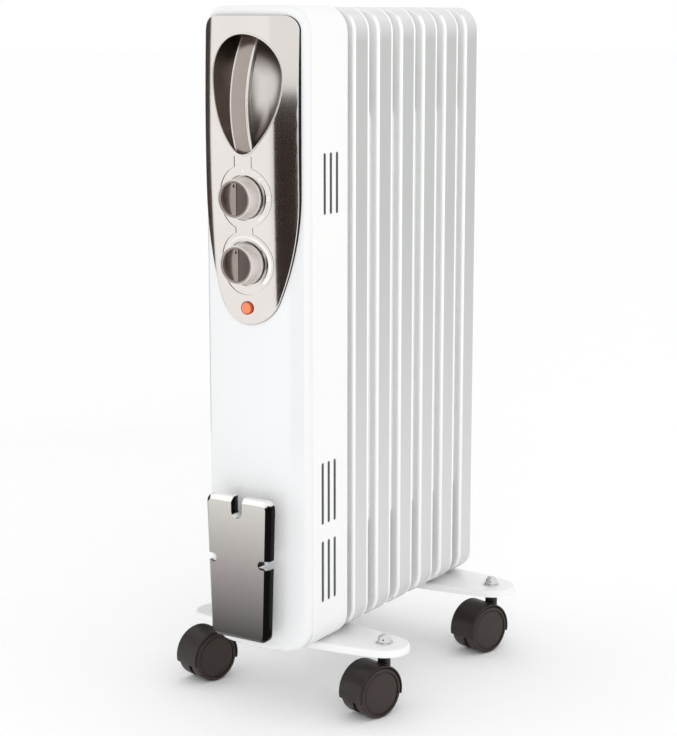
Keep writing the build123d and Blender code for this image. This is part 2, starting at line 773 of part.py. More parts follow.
# ---------------------------------------------------------------- cord storage and inlet
cord_face_y = case_front - cord_plate_front
cord_back_y = cord_face_y + cord_plate_depth
cord_half = cord_plate_width / 2
cord_top = cord_plate_mid + cord_plate_height / 2
side_notch_z = case_bottom + cord_plate_lift + side_notch_lift

with BuildPart() as cord_wrap_plate:
    with BuildSketch(front_plane(cord_back_y)):
        with Locations((0, cord_plate_mid)):
            RectangleRounded(cord_plate_width, cord_plate_height, cord_plate_corner)
        with Locations((0, cord_top)):
            SlotOverall(2 * top_notch_depth, top_notch_width, rotation=90, mode=Mode.SUBTRACT)
        with Locations((-cord_half, side_notch_z), (cord_half, side_notch_z)):
            SlotOverall(2 * side_notch_depth, side_notch_width, mode=Mode.SUBTRACT)
    extrude(amount=cord_plate_depth)
    chamfer(cord_wrap_plate.faces().sort_by(Axis.Y)[0].edges(), 0.6 * cord_plate_bevel, cord_plate_bevel)
    offset(amount=-cord_plate_wall, openings=cord_wrap_plate.faces().sort_by(Axis.Y)[-1])
save(cord_wrap_plate, "cord_wrap_plate")

with BuildPart() as cord_wrap_post:
    with BuildSketch(front_plane(case_front)):
        with Locations((0, cord_plate_mid)):
            SlotOverall(post_height, post_width, rotation=90)
            SlotOverall(post_height - 2 * post_wall, post_width - 2 * post_wall, rotation=90,
                        mode=Mode.SUBTRACT)
            Rectangle(post_wall, post_height - post_wall)
        with Locations(*[(0, screw_z) for screw_z in screw_places]):
            Circle(screw_radius + post_wall)
            Circle(screw_radius, mode=Mode.SUBTRACT)
    extrude(amount=cord_plate_front - cord_plate_wall)
    add(crowned_block(0), mode=Mode.SUBTRACT)
save(cord_wrap_post, "cord_wrap_post")

with BuildPart() as cord_wrap_screws:
    screw_back = case_front - cover_crown + cover_wall + hole_clearance
    screw_locations = Locations(*[(0, screw_z) for screw_z in screw_places])
    with BuildSketch(front_plane(screw_back)):
        with screw_locations:
            Circle(screw_radius)
    extrude(amount=screw_back - cord_face_y - cord_plate_wall)
    with BuildSketch(front_plane(screw_back + screw_head)):
        with screw_locations:
            Circle(screw_head_radius)
    extrude(amount=screw_head)
save(cord_wrap_screws, "cord_wrap_screws")

with BuildPart() as cord_gland:
    with BuildSketch(Plane.XY.offset(case_bottom - gland_drop)):
        with Locations((0, case_front + gland_offset)):
            Circle(gland_flange_radius)
    extrude(amount=gland_drop)
    fillet(cord_gland.faces().sort_by(Axis.Z)[0].edges(), gland_round)
    with BuildSketch(Plane.XY.offset(case_bottom)):
        with Locations((0, case_front + gland_offset)):
            Circle(gland_body_radius)
    extrude(amount=gland_rise)
    with BuildSketch(Plane.XY.offset(case_bottom - gland_drop)):
        with Locations((0, case_front + gland_offset)):
            Circle(gland_bore_radius)
    extrude(amount=gland_drop + gland_rise, mode=Mode.SUBTRACT)
save(cord_gland, "cord_gland")


# ---------------------------------------------------------------- foot plates and their fixings
def plate_outline():
    """A long plate with round ends that widens to its middle."""
    bow_radius = (stem_x**2 + plate_half_depth**2 - plate_end_radius**2)
    bow_radius /= 2 * (plate_half_depth - plate_end_radius)
    reach = bow_radius - plate_end_radius
    x = stem_x * bow_radius / reach
    y = plate_end_radius * (bow_radius - plate_half_depth) / reach
    end = stem_x + plate_end_radius
    with BuildSketch() as outline:
        with BuildLine():
            ThreePointArc((x, -y), (end, 0), (x, y))
            ThreePointArc((x, y), (0, plate_half_depth), (-x, y))
            ThreePointArc((-x, y), (-end, 0), (-x, -y))
            ThreePointArc((-x, -y), (0, -plate_half_depth), (x, -y))
        make_face()
    return outline.sketch


def make_foot_plate(y, bolt_y, pad_places):
    """A pressed steel foot plate: turned-down rim, holes for stems and U-bolt, pads under the fins."""
    with BuildPart() as plate:
        with BuildSketch(Plane(origin=(0, y, rim_bottom))):
            add(plate_outline())
        extrude(amount=rim_depth)
        fillet(plate.faces().sort_by(Axis.Z)[-1].edges(), rim_roll)
        offset(amount=-plate_sheet, openings=plate.faces().sort_by(Axis.Z)[0])
        with BuildSketch(Plane.XY.offset(plate_top)):
            with Locations(*[(0, place) for place in pad_places]):
                Rectangle(2 * pad_half_length, pad_depth)
        extrude(amount=pad_height, taper=pad_slope)
        with BuildSketch(Plane.XY.offset(rim_bottom)):
            with Locations((-stem_x, y), (stem_x, y)):
                Circle(stem_radius + hole_clearance)
            with Locations((-u_bolt_half, bolt_y), (u_bolt_half, bolt_y)):
                Circle(u_bolt_radius + hole_clearance)
        extrude(amount=rim_depth + pad_height, mode=Mode.SUBTRACT)
    return plate


def make_u_bolt(y):
    """A round rod bent over the lower header between two fins, its legs through the foot plate."""
    tail_z = plate_under - u_bolt_tail
    with BuildPart() as bolt:
        with BuildLine():
            Line((-u_bolt_half, y, tail_z), (-u_bolt_half, y, header_low))
            ThreePointArc((-u_bolt_half, y, header_low), (0, y, header_low + u_bolt_half),
                          (u_bolt_half, y, header_low))
            Line((u_bolt_half, y, header_low), (u_bolt_half, y, tail_z))
        with BuildSketch(Plane(origin=(-u_bolt_half, y, tail_z))):
            Circle(u_bolt_radius)
        sweep()
    return bolt


front_pads = (fin_face(1) + fin_flange / 2,)
rear_pads = (fin_face(fin_count - 2) + fin_flange / 2, fin_face(fin_count - 1) + fin_flange / 2)
save(make_foot_plate(front_foot_y, front_bolt_y, front_pads), "front_foot_plate")
save(make_foot_plate(rear_foot_y, rear_bolt_y, rear_pads), "rear_foot_plate")
save(make_u_bolt(front_bolt_y), "front_u_bolt")
save(make_u_bolt(rear_bolt_y), "rear_u_bolt")

bolt_legs = [(side * u_bolt_half, y) for y in (front_bolt_y, rear_bolt_y) for side in (-1, 1)]
with BuildPart() as wing_nuts:
    with BuildSketch(Plane.XY.offset(plate_under - wing_height)):
        with Locations(*bolt_legs):
            Circle(wing_hub_radius)
    extrude(amount=wing_height)
    with BuildSketch(Plane.XY.offset(plate_under - wing_height - wing_drop)):
        with Locations(*bolt_legs):
            SlotOverall(wing_span, wing_thickness)
    extrude(amount=wing_height)
    with BuildSketch(Plane.XY.offset(plate_under - wing_height - wing_drop)):
        with Locations(*bolt_legs):
            Circle(u_bolt_radius)
    extrude(amount=wing_height + wing_drop, mode=Mode.SUBTRACT)
save(wing_nuts, "wing_nuts")

corners = {
    "front_left": (-stem_x, front_foot_y),
    "front_right": (stem_x, front_foot_y),
    "rear_left": (-stem_x, rear_foot_y),
    "rear_right": (stem_x, rear_foot_y),
}
stem_places = list(corners.values())

with BuildPart() as caster_stems:
    with BuildSketch(Plane.XY.offset(stem_foot)):
        with Locations(*stem_places):
            Circle(stem_radius)
    extrude(amount=stem_top - stem_foot)
    with BuildSketch(Plane.XY.offset(plate_under - stem_collar)):
        with Locations(*stem_places):
            Circle(stem_collar_radius)
    extrude(amount=stem_collar)
save(caster_stems, "caster_stems")

with BuildPart() as washers:
    with BuildSketch(Plane.XY.offset(plate_top)):
        with Locations(*stem_places):
            Circle(washer_radius)
            Circle(stem_radius, mode=Mode.SUBTRACT)
    extrude(amount=washer_thickness)
save(washers, "washers")

with BuildPart() as dome_nuts:
    nut_seat = plate_top + washer_thickness
    with BuildSketch(Plane.XY.offset(nut_seat)):
        with Locations(*stem_places):
            RegularPolygon(nut_width / 2, 6, major_radius=False)
    extrude(amount=nut_height)
    with Locations(*[(x, y, nut_seat + nut_height) for x, y in stem_places]):
        Sphere(nut_dome_radius, arc_size1=0)
    with BuildSketch(Plane.XY.offset(nut_seat)):
        with Locations(*stem_places):
            Circle(stem_radius)
    extrude(amount=stem_top - nut_seat, mode=Mode.SUBTRACT)
save(dome_nuts, "dome_nuts")


# ---------------------------------------------------------------- casters
heading = (-sin(radians(caster_swivel)), -cos(radians(caster_swivel)), 0)
outboard = (cos(radians(caster_swivel)), -sin(radians(caster_swivel)), 0)


def axle_centre(x, y):
    """The middle of a caster's axle, which trails its stem at (x, y)."""
    return (x + caster_trail * heading[0], y + caster_trail * heading[1], wheel_radius)


def caster_side(x, y):
    """The caster's own middle plane: its x runs back to the stem and its y is up."""
    return Plane(origin=axle_centre(x, y), x_dir=[-part for part in heading], z_dir=outboard)


def make_hood(x, y):
    """The moulded body: neck, fender over both wheels, and the web between them that holds the axle."""
    side = caster_side(x, y)
    skirt_cut = 2 * hood_outer
    with BuildPart() as hood:
        with BuildSketch(side):
            Circle(hood_outer)
        extrude(amount=hood_half_width, both=True)
        fillet(hood.edges().filter_by(GeomType.CIRCLE), hood_round)
        with BuildSketch(Plane(origin=(x, y, wheel_radius + hood_inner / 2))):
            Circle(neck_radius)
        extrude(amount=neck_top - wheel_radius - hood_inner / 2)
        with BuildSketch(side):
            Circle(hood_inner)
        extrude(amount=2 * hood_half_width, both=True, mode=Mode.SUBTRACT)
        with BuildSketch(side):
            with Locations((0, -hood_skirt - skirt_cut / 2)):
                Rectangle(2 * skirt_cut, skirt_cut)
        extrude(amount=2 * hood_half_width, both=True, mode=Mode.SUBTRACT)
        with BuildSketch(side):
            Circle(hood_inner + hood_wall / 2)
            with Locations((0, -web_drop - skirt_cut / 2)):
                Rectangle(2 * skirt_cut, skirt_cut, mode=Mode.SUBTRACT)
        extrude(amount=web_thickness / 2, both=True)
        with BuildSketch(side):
            Circle(axle_radius)
        extrude(amount=2 * hood_half_width, both=True, mode=Mode.SUBTRACT)
        with BuildSketch(Plane(origin=(x, y, stem_foot - stem_socket_gap))):
            Circle(stem_radius + running_clearance)
        extrude(amount=neck_top - stem_foot + 2 * stem_socket_gap, mode=Mode.SUBTRACT)
    return hood


def make_axle(x, y):
    """A plain steel pin pressed through the hood's web."""
    with BuildPart() as axle:
        with BuildSketch(caster_side(x, y)):
            Circle(axle_radius)
        extrude(amount=wheel_gap + wheel_width - wheel_cap - axle_end_gap, both=True)
    return axle


def make_wheel(x, y, side):
    """One wheel of a twin pair: tread, rim ring, groove and a closed outer face with a blind bore."""
    centre = axle_centre(x, y)
    along = [side * part for part in outboard]
    facing = [side * part for part in heading]
    inner_face = wheel_gap
    outer_face = wheel_gap + wheel_width
    ring_inner = wheel_radius - wheel_rim
    disc_edge = ring_inner - wheel_groove_width
    bore = axle_radius + running_clearance
    with BuildPart() as wheel:
        with BuildSketch(Plane(origin=centre, x_dir=along, z_dir=facing)):
            with BuildLine():
                Polyline((inner_face, bore), (inner_face, wheel_radius - wheel_bevel),
                         (inner_face + wheel_bevel, wheel_radius), (outer_face - wheel_round, wheel_radius))
                TangentArc((outer_face - wheel_round, wheel_radius), (outer_face, wheel_radius - wheel_round),
                           tangent=(1, 0))
                Polyline((outer_face, wheel_radius - wheel_round), (outer_face, ring_inner),
                         (outer_face - wheel_groove, ring_inner - wheel_groove_slope),
                         (outer_face - wheel_groove, disc_edge + wheel_groove_slope),
                         (outer_face - wheel_disc_set, disc_edge))
                TangentArc((outer_face, 0), (outer_face - wheel_disc_set, disc_edge), tangent=(0, 1))
                Polyline((outer_face, 0), (outer_face - wheel_cap, 0), (outer_face - wheel_cap, bore),
                         (inner_face, bore))
            make_face()
        revolve(axis=Axis(centre, outboard))
    return wheel


for corner, (stem_place_x, stem_place_y) in corners.items():
    save(make_hood(stem_place_x, stem_place_y), f"{corner}_caster_hood")
    save(make_axle(stem_place_x, stem_place_y), f"{corner}_caster_axle")
    save(make_wheel(stem_place_x, stem_place_y, -1), f"{corner}_wheel_left")
    save(make_wheel(stem_place_x, stem_place_y, 1), f"{corner}_wheel_right")
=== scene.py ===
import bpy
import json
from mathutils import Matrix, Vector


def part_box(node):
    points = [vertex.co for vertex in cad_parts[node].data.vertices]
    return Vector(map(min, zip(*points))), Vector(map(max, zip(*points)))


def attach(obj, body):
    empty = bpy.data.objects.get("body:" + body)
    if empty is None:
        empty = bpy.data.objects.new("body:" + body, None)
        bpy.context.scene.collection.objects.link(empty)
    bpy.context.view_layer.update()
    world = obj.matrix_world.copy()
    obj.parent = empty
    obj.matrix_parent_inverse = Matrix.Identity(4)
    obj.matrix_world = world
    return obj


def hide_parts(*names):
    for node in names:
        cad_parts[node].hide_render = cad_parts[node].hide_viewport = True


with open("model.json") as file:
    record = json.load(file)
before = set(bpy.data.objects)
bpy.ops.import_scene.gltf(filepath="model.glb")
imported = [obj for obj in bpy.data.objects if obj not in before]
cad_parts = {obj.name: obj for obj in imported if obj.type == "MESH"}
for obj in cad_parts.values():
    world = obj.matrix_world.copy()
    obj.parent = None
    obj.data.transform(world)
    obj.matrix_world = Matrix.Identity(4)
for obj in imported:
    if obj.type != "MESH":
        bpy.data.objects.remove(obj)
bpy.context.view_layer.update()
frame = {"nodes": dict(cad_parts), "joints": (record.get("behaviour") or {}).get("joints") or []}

import json
from math import atan2, cos, pi, radians, sin, sqrt

import bmesh
import bpy
from mathutils import Vector

# ---------------------------------------------------------------- foot plates
# Two oval plates pressed from 2 mm steel with a turned-down rim, fired with white enamel. They carry
# the whole heater: the fins stand on their pads, the U-bolts pull them up, and the casters hang below.


def linear(colour):
    """An sRGB hex colour as linear RGBA."""
    parts = [int(colour[i:i + 2], 16) / 255 for i in (0, 2, 4)]
    return [p / 12.92 if p <= 0.04045 else ((p + 0.055) / 1.055) ** 2.4 for p in parts] + [1.0]


def start_material(name, **sockets):
    """A new node material, with constants on its Principled shader's own sockets."""
    material = bpy.data.materials.new(name)
    material.use_nodes = True
    for key, value in sockets.items():
        material.node_tree.nodes["Principled BSDF"].inputs[key.replace("_", " ")].default_value = value
    return material


def add_node(material, kind, settings=None, **sockets):
    """Adds a node with its settings; a socket is given a value or another node's output."""
    node = material.node_tree.nodes.new(kind)
    for key, value in (settings or {}).items():
        setattr(node, key, value)
    for key, value in sockets.items():
        socket = node.inputs[key.replace("_", " ")]
        if isinstance(value, bpy.types.NodeSocket):
            material.node_tree.links.new(value, socket)
        else:
            socket.default_value = value
    return node


def drive(material, **sockets):
    """Links node outputs to the Principled shader's sockets."""
    shader = material.node_tree.nodes["Principled BSDF"]
    for key, value in sockets.items():
        material.node_tree.links.new(value, shader.inputs[key.replace("_", " ")])


def coat(material, *names):
    """Gives CAD nodes a material."""
    for name in names:
        for slot in frame["nodes"][name].material_slots:
            slot.material = material


def noise_factor(material, width_mm):
    """Noise of a real width over the whole surface."""
    place = add_node(material, "ShaderNodeTexCoord").outputs["Object"]
    return add_node(material, "ShaderNodeTexNoise", Vector=place, Scale=1000 / width_mm).outputs["Fac"]


def mottle(material, width_mm, low, high):
    """A blend of two colours by noise of a real width."""
    return add_node(material, "ShaderNodeMixRGB", Fac=noise_factor(material, width_mm),
                    Color1=linear(low), Color2=linear(high)).outputs["Color"]


def dimple(material, width_mm, depth_mm):
    """Bump from noise of a real width and depth, linked to the shader's normal."""
    bump = add_node(material, "ShaderNodeBump", Strength=1.0, Distance=depth_mm / 1000,
                    Height=noise_factor(material, width_mm))
    drive(material, Normal=bump.outputs["Normal"])


# Fired enamel on pressed steel: a clean cold white with soft, slightly wavy reflections.
enamel = start_material("fired_enamel_on_steel", Roughness=0.3, IOR=1.5, Coat_Weight=0.25, Coat_Roughness=0.12)
shade = mottle(enamel, 60, "f1f2f1", "f6f7f6")
drive(enamel, Base_Color=shade)
dimple(enamel, 2.5, 0.004)
coat(enamel, "front_foot_plate", "rear_foot_plate")

# ---------------------------------------------------------------- casters
# Four twin-wheel furniture casters in dark brown nylon. Each hood is moulded in one piece with its neck,
# a steel pin is pressed through its web, and the two wheels run on the pin's ends.


def mesh_object(name, fill, material):
    """An object whose mesh the given function fills, smooth but for its real edges."""
    form = bmesh.new()
    fill(form)
    bmesh.ops.recalc_face_normals(form, faces=form.faces)
    mesh = bpy.data.meshes.new(name)
    form.to_mesh(mesh)
    form.free()
    for polygon in mesh.polygons:
        polygon.use_smooth = True
    mesh.set_sharp_from_angle(angle=radians(32))
    mesh.materials.append(material)
    thing = bpy.data.objects.new(name, mesh)
    bpy.context.scene.collection.objects.link(thing)
    return thing


def fit(thing, body, slot, *replaced):
    """Puts a finished piece on its body, in place of the CAD nodes it stands for."""
    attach(thing, body)
    if replaced:
        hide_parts(*replaced)


def arc(middle, radius, start, end, steps=6):
    """Points of a circular arc in a profile, by angle in degrees."""
    angles = [radians(start + (end - start) * step / steps) for step in range(steps + 1)]
    return [(middle[0] + radius * cos(angle), middle[1] + radius * sin(angle)) for angle in angles]


def turn(form, profile, centre, axis, steps=96, flats=0, across=0.0):
    """Turns a closed profile of (along, radius) millimetres about an axis; flats cut it to a polygon bar."""
    axis = Vector(axis).normalized()
    side = axis.orthogonal().normalized()
    other = axis.cross(side)
    rings = []
    for along, radius in profile:
        if radius < 1e-6:
            rings.append([form.verts.new(Vector(centre) + axis * along / 1000)])
            continue
        ring = []
        for step in range(steps):
            angle = 2 * pi * step / steps
            reach = radius
            if flats:
                sector = 2 * pi / flats
                reach = min(radius, across / 2 / cos(angle % sector - sector / 2))
            offset = (side * cos(angle) + other * sin(angle)) * reach / 1000
            ring.append(form.verts.new(Vector(centre) + axis * along / 1000 + offset))
        rings.append(ring)
    for ring, following in zip(rings, rings[1:] + rings[:1]):
        for step in range(steps):
            after = (step + 1) % steps
            corner_verts = [ring[step % len(ring)], ring[after % len(ring)],
                            following[after % len(following)], following[step % len(following)]]
            distinct = list(dict.fromkeys(corner_verts))
            if len(distinct) > 2:
                form.faces.new(distinct)


# Moulded nylon, dark brown: a satin skin with soft, slightly broken highlights.
nylon = start_material("moulded_nylon_satin", Roughness=0.38, IOR=1.5, Specular_IOR_Level=0.4)
shade = mottle(nylon, 6, "1c1310", "221815")
drive(nylon, Base_Color=shade)
dimple(nylon, 0.6, 0.01)

# The wheels' nylon, from a spark-eroded tool: a shade lighter and flatter than the hood.
disc_nylon = start_material("moulded_nylon_fine_spark_texture", Roughness=0.45, IOR=1.5, Specular_IOR_Level=0.4)
shade = mottle(disc_nylon, 6, "2b201c", "322622")
drive(disc_nylon, Base_Color=shade)
dimple(disc_nylon, 0.5, 0.008)

# Zinc plated steel: a cool grey metal with blurred reflections.
steel = start_material("zinc_plated_steel_drawn", Metallic=1.0, Roughness=0.32)
shade = mottle(steel, 4, "b4b5b6", "c6c7c7")
drive(steel, Base_Color=shade)

# Millimetres; places along the axle are counted from the caster's middle.
wheel_radius, wheel_inner, wheel_outer, bore_radius = 23.5, 3.0, 15.3, 3.05
ring_inner, disc_edge, groove_depth = 20.6, 19.0, 1.2
inner_round, outer_round, ring_round, disc_round, disc_crown = 1.0, 1.6, 0.3, 0.4, 0.5
parting_line, parting_half, parting_depth, bore_depth = 9.05, 0.15, 0.12, 2.1
wheel_profile = [(wheel_inner, bore_radius), (wheel_inner, wheel_radius - inner_round)]
wheel_profile += arc((wheel_inner + inner_round, wheel_radius - inner_round), inner_round, 180, 90)
wheel_profile += [(parting_line - parting_half, wheel_radius), (parting_line, wheel_radius - parting_depth),
                  (parting_line + parting_half, wheel_radius)]
wheel_profile += arc((wheel_outer - outer_round, wheel_radius - outer_round), outer_round, 90, 0, 8)
wheel_profile += arc((wheel_outer - ring_round, ring_inner + ring_round), ring_round, 0, -90, 4)
wheel_profile += [(wheel_outer - groove_depth, ring_inner - ring_round),
                  (wheel_outer - groove_depth, disc_edge + disc_round)]
wheel_profile += arc((wheel_outer - disc_crown - disc_round, disc_edge - disc_round), disc_round, 90, 10, 4)
wheel_profile += [(wheel_outer - disc_crown * (radius / disc_edge) ** 2, radius)
                  for radius in (17.0, 13.0, 9.0, 5.0, 0.0)]
wheel_profile += [(wheel_outer - bore_depth, 0.0), (wheel_outer - bore_depth, bore_radius)]

joints = {joint["name"]: joint for joint in frame["joints"]}
corners = ("front_left", "front_right", "rear_left", "rear_right")
for corner in corners:
    coat(nylon, f"{corner}_caster_hood")
    coat(steel, f"{corner}_caster_axle")
    for end, direction in (("left", -1), ("right", 1)):
        roll = joints[f"{corner}_{end}_roll"]
        outward = direction * Vector(roll["axis"])
        wheel = mesh_object(f"{corner}_{end}_wheel_tread_and_disc",
                            lambda form: turn(form, wheel_profile, roll["pos_m"], outward, 120), disc_nylon)
        fit(wheel, roll["child"], "wheel_plastic", f"{corner}_wheel_{end}")

# ---------------------------------------------------------------- stems, nuts and U-bolts
# M8 zinc plated stems rise through the foot plates and are held by chromed acorn nuts on plain washers.
# A U-bolt over each end's lower header is drawn up under the plate by two wing nuts.
coat(steel, "caster_stems", "front_u_bolt", "rear_u_bolt", "wing_nuts")

# Bright chrome plate: mirrors everything round it with a cold tint.
chrome = start_material("bright_chrome_plate", Metallic=1.0, Roughness=0.07)
shade = mottle(chrome, 8, "d2d3d4", "dcdddd")
drive(chrome, Base_Color=shade)

nut_low, nut_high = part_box("dome_nuts")
nut_across, nut_reach, nut_foot, nut_round, dome_radius = 13.0, 8.0, 6.4, 7.1, 6.0
nut_body = (nut_high.z - nut_low.z) * 1000 - dome_radius
nut_profile = [(0.0, 0.0), (0.0, nut_foot), (0.5, nut_round), (0.6, nut_reach), (nut_body - 0.9, nut_reach)]
nut_profile += [(nut_body - 0.8, nut_round + 0.1), (nut_body, dome_radius + 0.25)]
nut_profile += arc((nut_body, 0.0), dome_radius, 90, 0, 10)
washer_low, washer_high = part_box("washers")
washer_thickness = (washer_high.z - washer_low.z) * 1000
washer_hole, washer_edge, washer_round = 4.2, 8.0, 0.3
washer_profile = [(0.0, washer_hole), (0.0, washer_edge - washer_round), (0.25, washer_edge),
                  (washer_thickness - washer_round, washer_edge),
                  (washer_thickness, washer_edge - washer_round), (washer_thickness, washer_hole)]


def on_stems(profile, height, **shape):
    """A fill that repeats a turned form on all four stems."""
    def fill(form):
        for corner in corners:
            stem = joints[f"{corner}_swivel"]["pos_m"]
            turn(form, profile, (stem[0], stem[1], height), (0, 0, 1), **shape)
    return fill


nuts = mesh_object("acorn_nuts", on_stems(nut_profile, nut_low.z, flats=6, across=nut_across), chrome)
fit(nuts, "root", "nut_chrome", "dome_nuts")
plain_washers = mesh_object("plain_washers", on_stems(washer_profile, washer_low.z, steps=48), chrome)
fit(plain_washers, "root", "nut_chrome", "washers")

# ---------------------------------------------------------------- fins
# Seven oil-filled fins, each of two pressed steel sheets seam-welded round the edge and folded back into a
# flange. Collars at top and bottom are welded from fin to fin, and the whole stack is powder coated.


def map_range(material, value, start, end, low=0.0, high=1.0, smooth=False):
    """A value mapped from one range to another, clamped at both ends."""
    settings = {"interpolation_type": "SMOOTHSTEP"} if smooth else {}
    return add_node(material, "ShaderNodeMapRange", settings, Value=value, From_Min=start, From_Max=end,
                    To_Min=low, To_Max=high).outputs["Result"]


def blend_colours(material, factor, colour, other):
    """Two colours mixed by a factor; each is a hex colour or another node's output."""
    first, second = (linear(c) if isinstance(c, str) else c for c in (colour, other))
    return add_node(material, "ShaderNodeMixRGB", Fac=factor, Color1=first, Color2=second).outputs["Color"]


def calculate(material, operation, value, other=0.0):
    """A maths node; its second operand is a number or another node's output."""
    node = add_node(material, "ShaderNodeMath", {"operation": operation})
    for socket, operand in zip(node.inputs, (value, other)):
        if isinstance(operand, bpy.types.NodeSocket):
            material.node_tree.links.new(operand, socket)
        else:
            socket.default_value = operand
    return node.outputs["Value"]


def normal_axes(material):
    """The surface normal's X, Y and Z."""
    normal = add_node(material, "ShaderNodeNewGeometry").outputs["Normal"]
    return add_node(material, "ShaderNodeSeparateXYZ", Vector=normal).outputs


def place_axes(material):
    """The object X, Y and Z in metres."""
    place = add_node(material, "ShaderNodeTexCoord").outputs["Object"]
    return add_node(material, "ShaderNodeSeparateXYZ", Vector=place).outputs


# Powder coat on steel sheet: soft white gloss with a fine orange peel that breaks up the reflections.
powder = start_material("powder_coated_steel_sheet", Roughness=0.34, IOR=1.5, Coat_Weight=0.15, Coat_Roughness=0.2)
shade = mottle(powder, 80, "f0f1f0", "f5f5f4")
drive(powder, Base_Color=shade)
dimple(powder, 1.8, 0.004)

# The same powder on the fins, with light and shade painted into its colour: painted highlights on the bends and hems,
# painted shade on the flanges and darkest in the creases round the raised oil channel, and painted light at the tops
# and lower down.
fin_powder_painted_shading = start_material("powder_coated_fin_sheet_painted_shading", Roughness=0.4, IOR=1.5, Coat_Weight=0.1, Coat_Roughness=0.25)
fin_low, fin_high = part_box("fin_7")
# Painted shade and highlight by which way the sheet faces: flanges painted grey, bends painted white, the crease walls
# round the oil channel painted darker grey.
facing_y = normal_axes(fin_powder_painted_shading)["Y"]
flatness = calculate(fin_powder_painted_shading, "ABSOLUTE", facing_y)
painted_edge_light_and_shade = add_node(fin_powder_painted_shading, "ShaderNodeValToRGB", Fac=flatness)
painted_edge_light_and_shade.color_ramp.elements[0].color = linear("babcba")
painted_edge_light_and_shade.color_ramp.elements[0].position = 0.02
painted_edge_light_and_shade.color_ramp.elements[1].color = linear("f6f8f6")
for stop in (0.3, 0.9):
    painted_edge_light_and_shade.color_ramp.elements.new(stop).color = linear("ffffff")
painted_crease_shade = add_node(fin_powder_painted_shading, "ShaderNodeValToRGB", Fac=flatness)
painted_crease_shade.color_ramp.elements[0].color = linear("a6a8a6")
painted_crease_shade.color_ramp.elements[0].position = 0.6
painted_crease_shade.color_ramp.elements[1].color = linear("fafbfa")
across = place_axes(fin_powder_painted_shading)
offset = calculate(fin_powder_painted_shading, "ABSOLUTE", across["X"])
bend_inner, bend_outer = 0.0075, 0.0045
at_bend = map_range(fin_powder_painted_shading, offset, fin_high.x - bend_inner, fin_high.x - bend_outer)
shade = blend_colours(fin_powder_painted_shading, at_bend, painted_crease_shade.outputs["Color"], painted_edge_light_and_shade.outputs["Color"])
# Painted light: the painted greys fade towards white lower down the fins.
painted_light_low_down = map_range(fin_powder_painted_shading, across["Z"], fin_low.z, fin_high.z * 0.7, 0.45, 0.0)
shade = blend_colours(fin_powder_painted_shading, painted_light_low_down, shade, "f4f3f4")
fin_pitch, fin_flange, hem, hem_edge, top_fade = 0.0412, 0.025, 0.0032, 0.0012, 0.03
first_face = fin_high.y - fin_flange - 6 * fin_pitch
since_face = calculate(fin_powder_painted_shading, "SUBTRACT", across["Y"], first_face)
within = calculate(fin_powder_painted_shading, "FLOORED_MODULO", since_face, fin_pitch)
# Painted highlight: a thin near-white line along each fin's hem.
painted_hem_highlight = map_range(fin_powder_painted_shading, within, fin_flange - hem, fin_flange - hem + hem_edge)
shade = blend_colours(fin_powder_painted_shading, painted_hem_highlight, shade, "fdfdfd")
# Painted light: the top few centimetres of the fins are painted whiter.
painted_top_light = map_range(fin_powder_painted_shading, across["Z"], fin_high.z - top_fade, fin_high.z, high=0.7)
shade = blend_colours(fin_powder_painted_shading, painted_top_light, shade, "fafafa")
drive(fin_powder_painted_shading, Base_Color=shade)
dimple(fin_powder_painted_shading, 1.8, 0.004)
fin_names = [f"fin_{number}" for number in range(1, 8)]
coat(fin_powder_painted_shading, *fin_names)

gasket_low, gasket_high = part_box("element_gasket")
plug_low, plug_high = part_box("filler_plug")
header_heights = ((gasket_low.z + gasket_high.z) / 2, (plug_low.z + plug_high.z) / 2)
collar_radius, bead_radius = 23.0, 1.1
bead_profile = arc((0.0, collar_radius + 0.2), bead_radius, 0, 330, 11)


def fill_beads(form):
    """One weld bead round each collar, where it meets the next fin."""
    for following in fin_names[1:]:
        front_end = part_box(following)[0].y
        for height in header_heights:
            turn(form, bead_profile, (0, front_end, height), (0, 1, 0), steps=48)


beads = mesh_object("collar_weld_beads", fill_beads, fin_powder_painted_shading)
fit(beads, "root", "fin_enamel")

# ---------------------------------------------------------------- heater parts inside the case
# A hairpin element on a hexagon flange and its rubber gasket close the lower header, a plug closes the
# upper one, and a zinc sheet carries the switches and the terminal block away from the first fin's heat.

# Moulded rubber: matt black that hardly reflects.
rubber = start_material("moulded_rubber", Roughness=0.7, IOR=1.5)
shade = mottle(rubber, 3, "141414", "1c1c1c")
drive(rubber, Base_Color=shade)
coat(rubber, "element_gasket", "cord_gland")

# Moulded phenolic: dense near-black with a dull sheen.
phenolic = start_material("moulded_phenolic", Roughness=0.5, IOR=1.55)
shade = mottle(phenolic, 3, "242426", "2c2c2e")
drive(phenolic, Base_Color=shade)
coat(phenolic, "power_switch", "thermostat", "lamp_body", "thermal_cutout", "tip_over_switch", "terminal_block")
coat(steel, "cord_wrap_screws", "heat_shield", "power_spindle", "thermostat_spindle", "heating_element",
     "filler_plug")

# ---------------------------------------------------------------- control case and front cover
# A folded and powder coated steel box closed by a crowned ABS cover, which clips inside the box's front
# edge. Three groups of slots in each side let the warm air out; a dark sheet just inside each slot is painted shade.
coat(powder, "control_housing")

# High gloss moulded ABS: whiter and sharper in its reflections than the painted steel beside it.
gloss_abs = start_material("moulded_abs_high_gloss", Roughness=0.12, IOR=1.54, Coat_Weight=0.2, Coat_Roughness=0.05)
shade = mottle(gloss_abs, 90, "e8e9ea", "edeeef")
drive(gloss_abs, Base_Color=shade)
dimple(gloss_abs, 14, 0.004)
coat(gloss_abs, "front_cover", "cord_wrap_post")

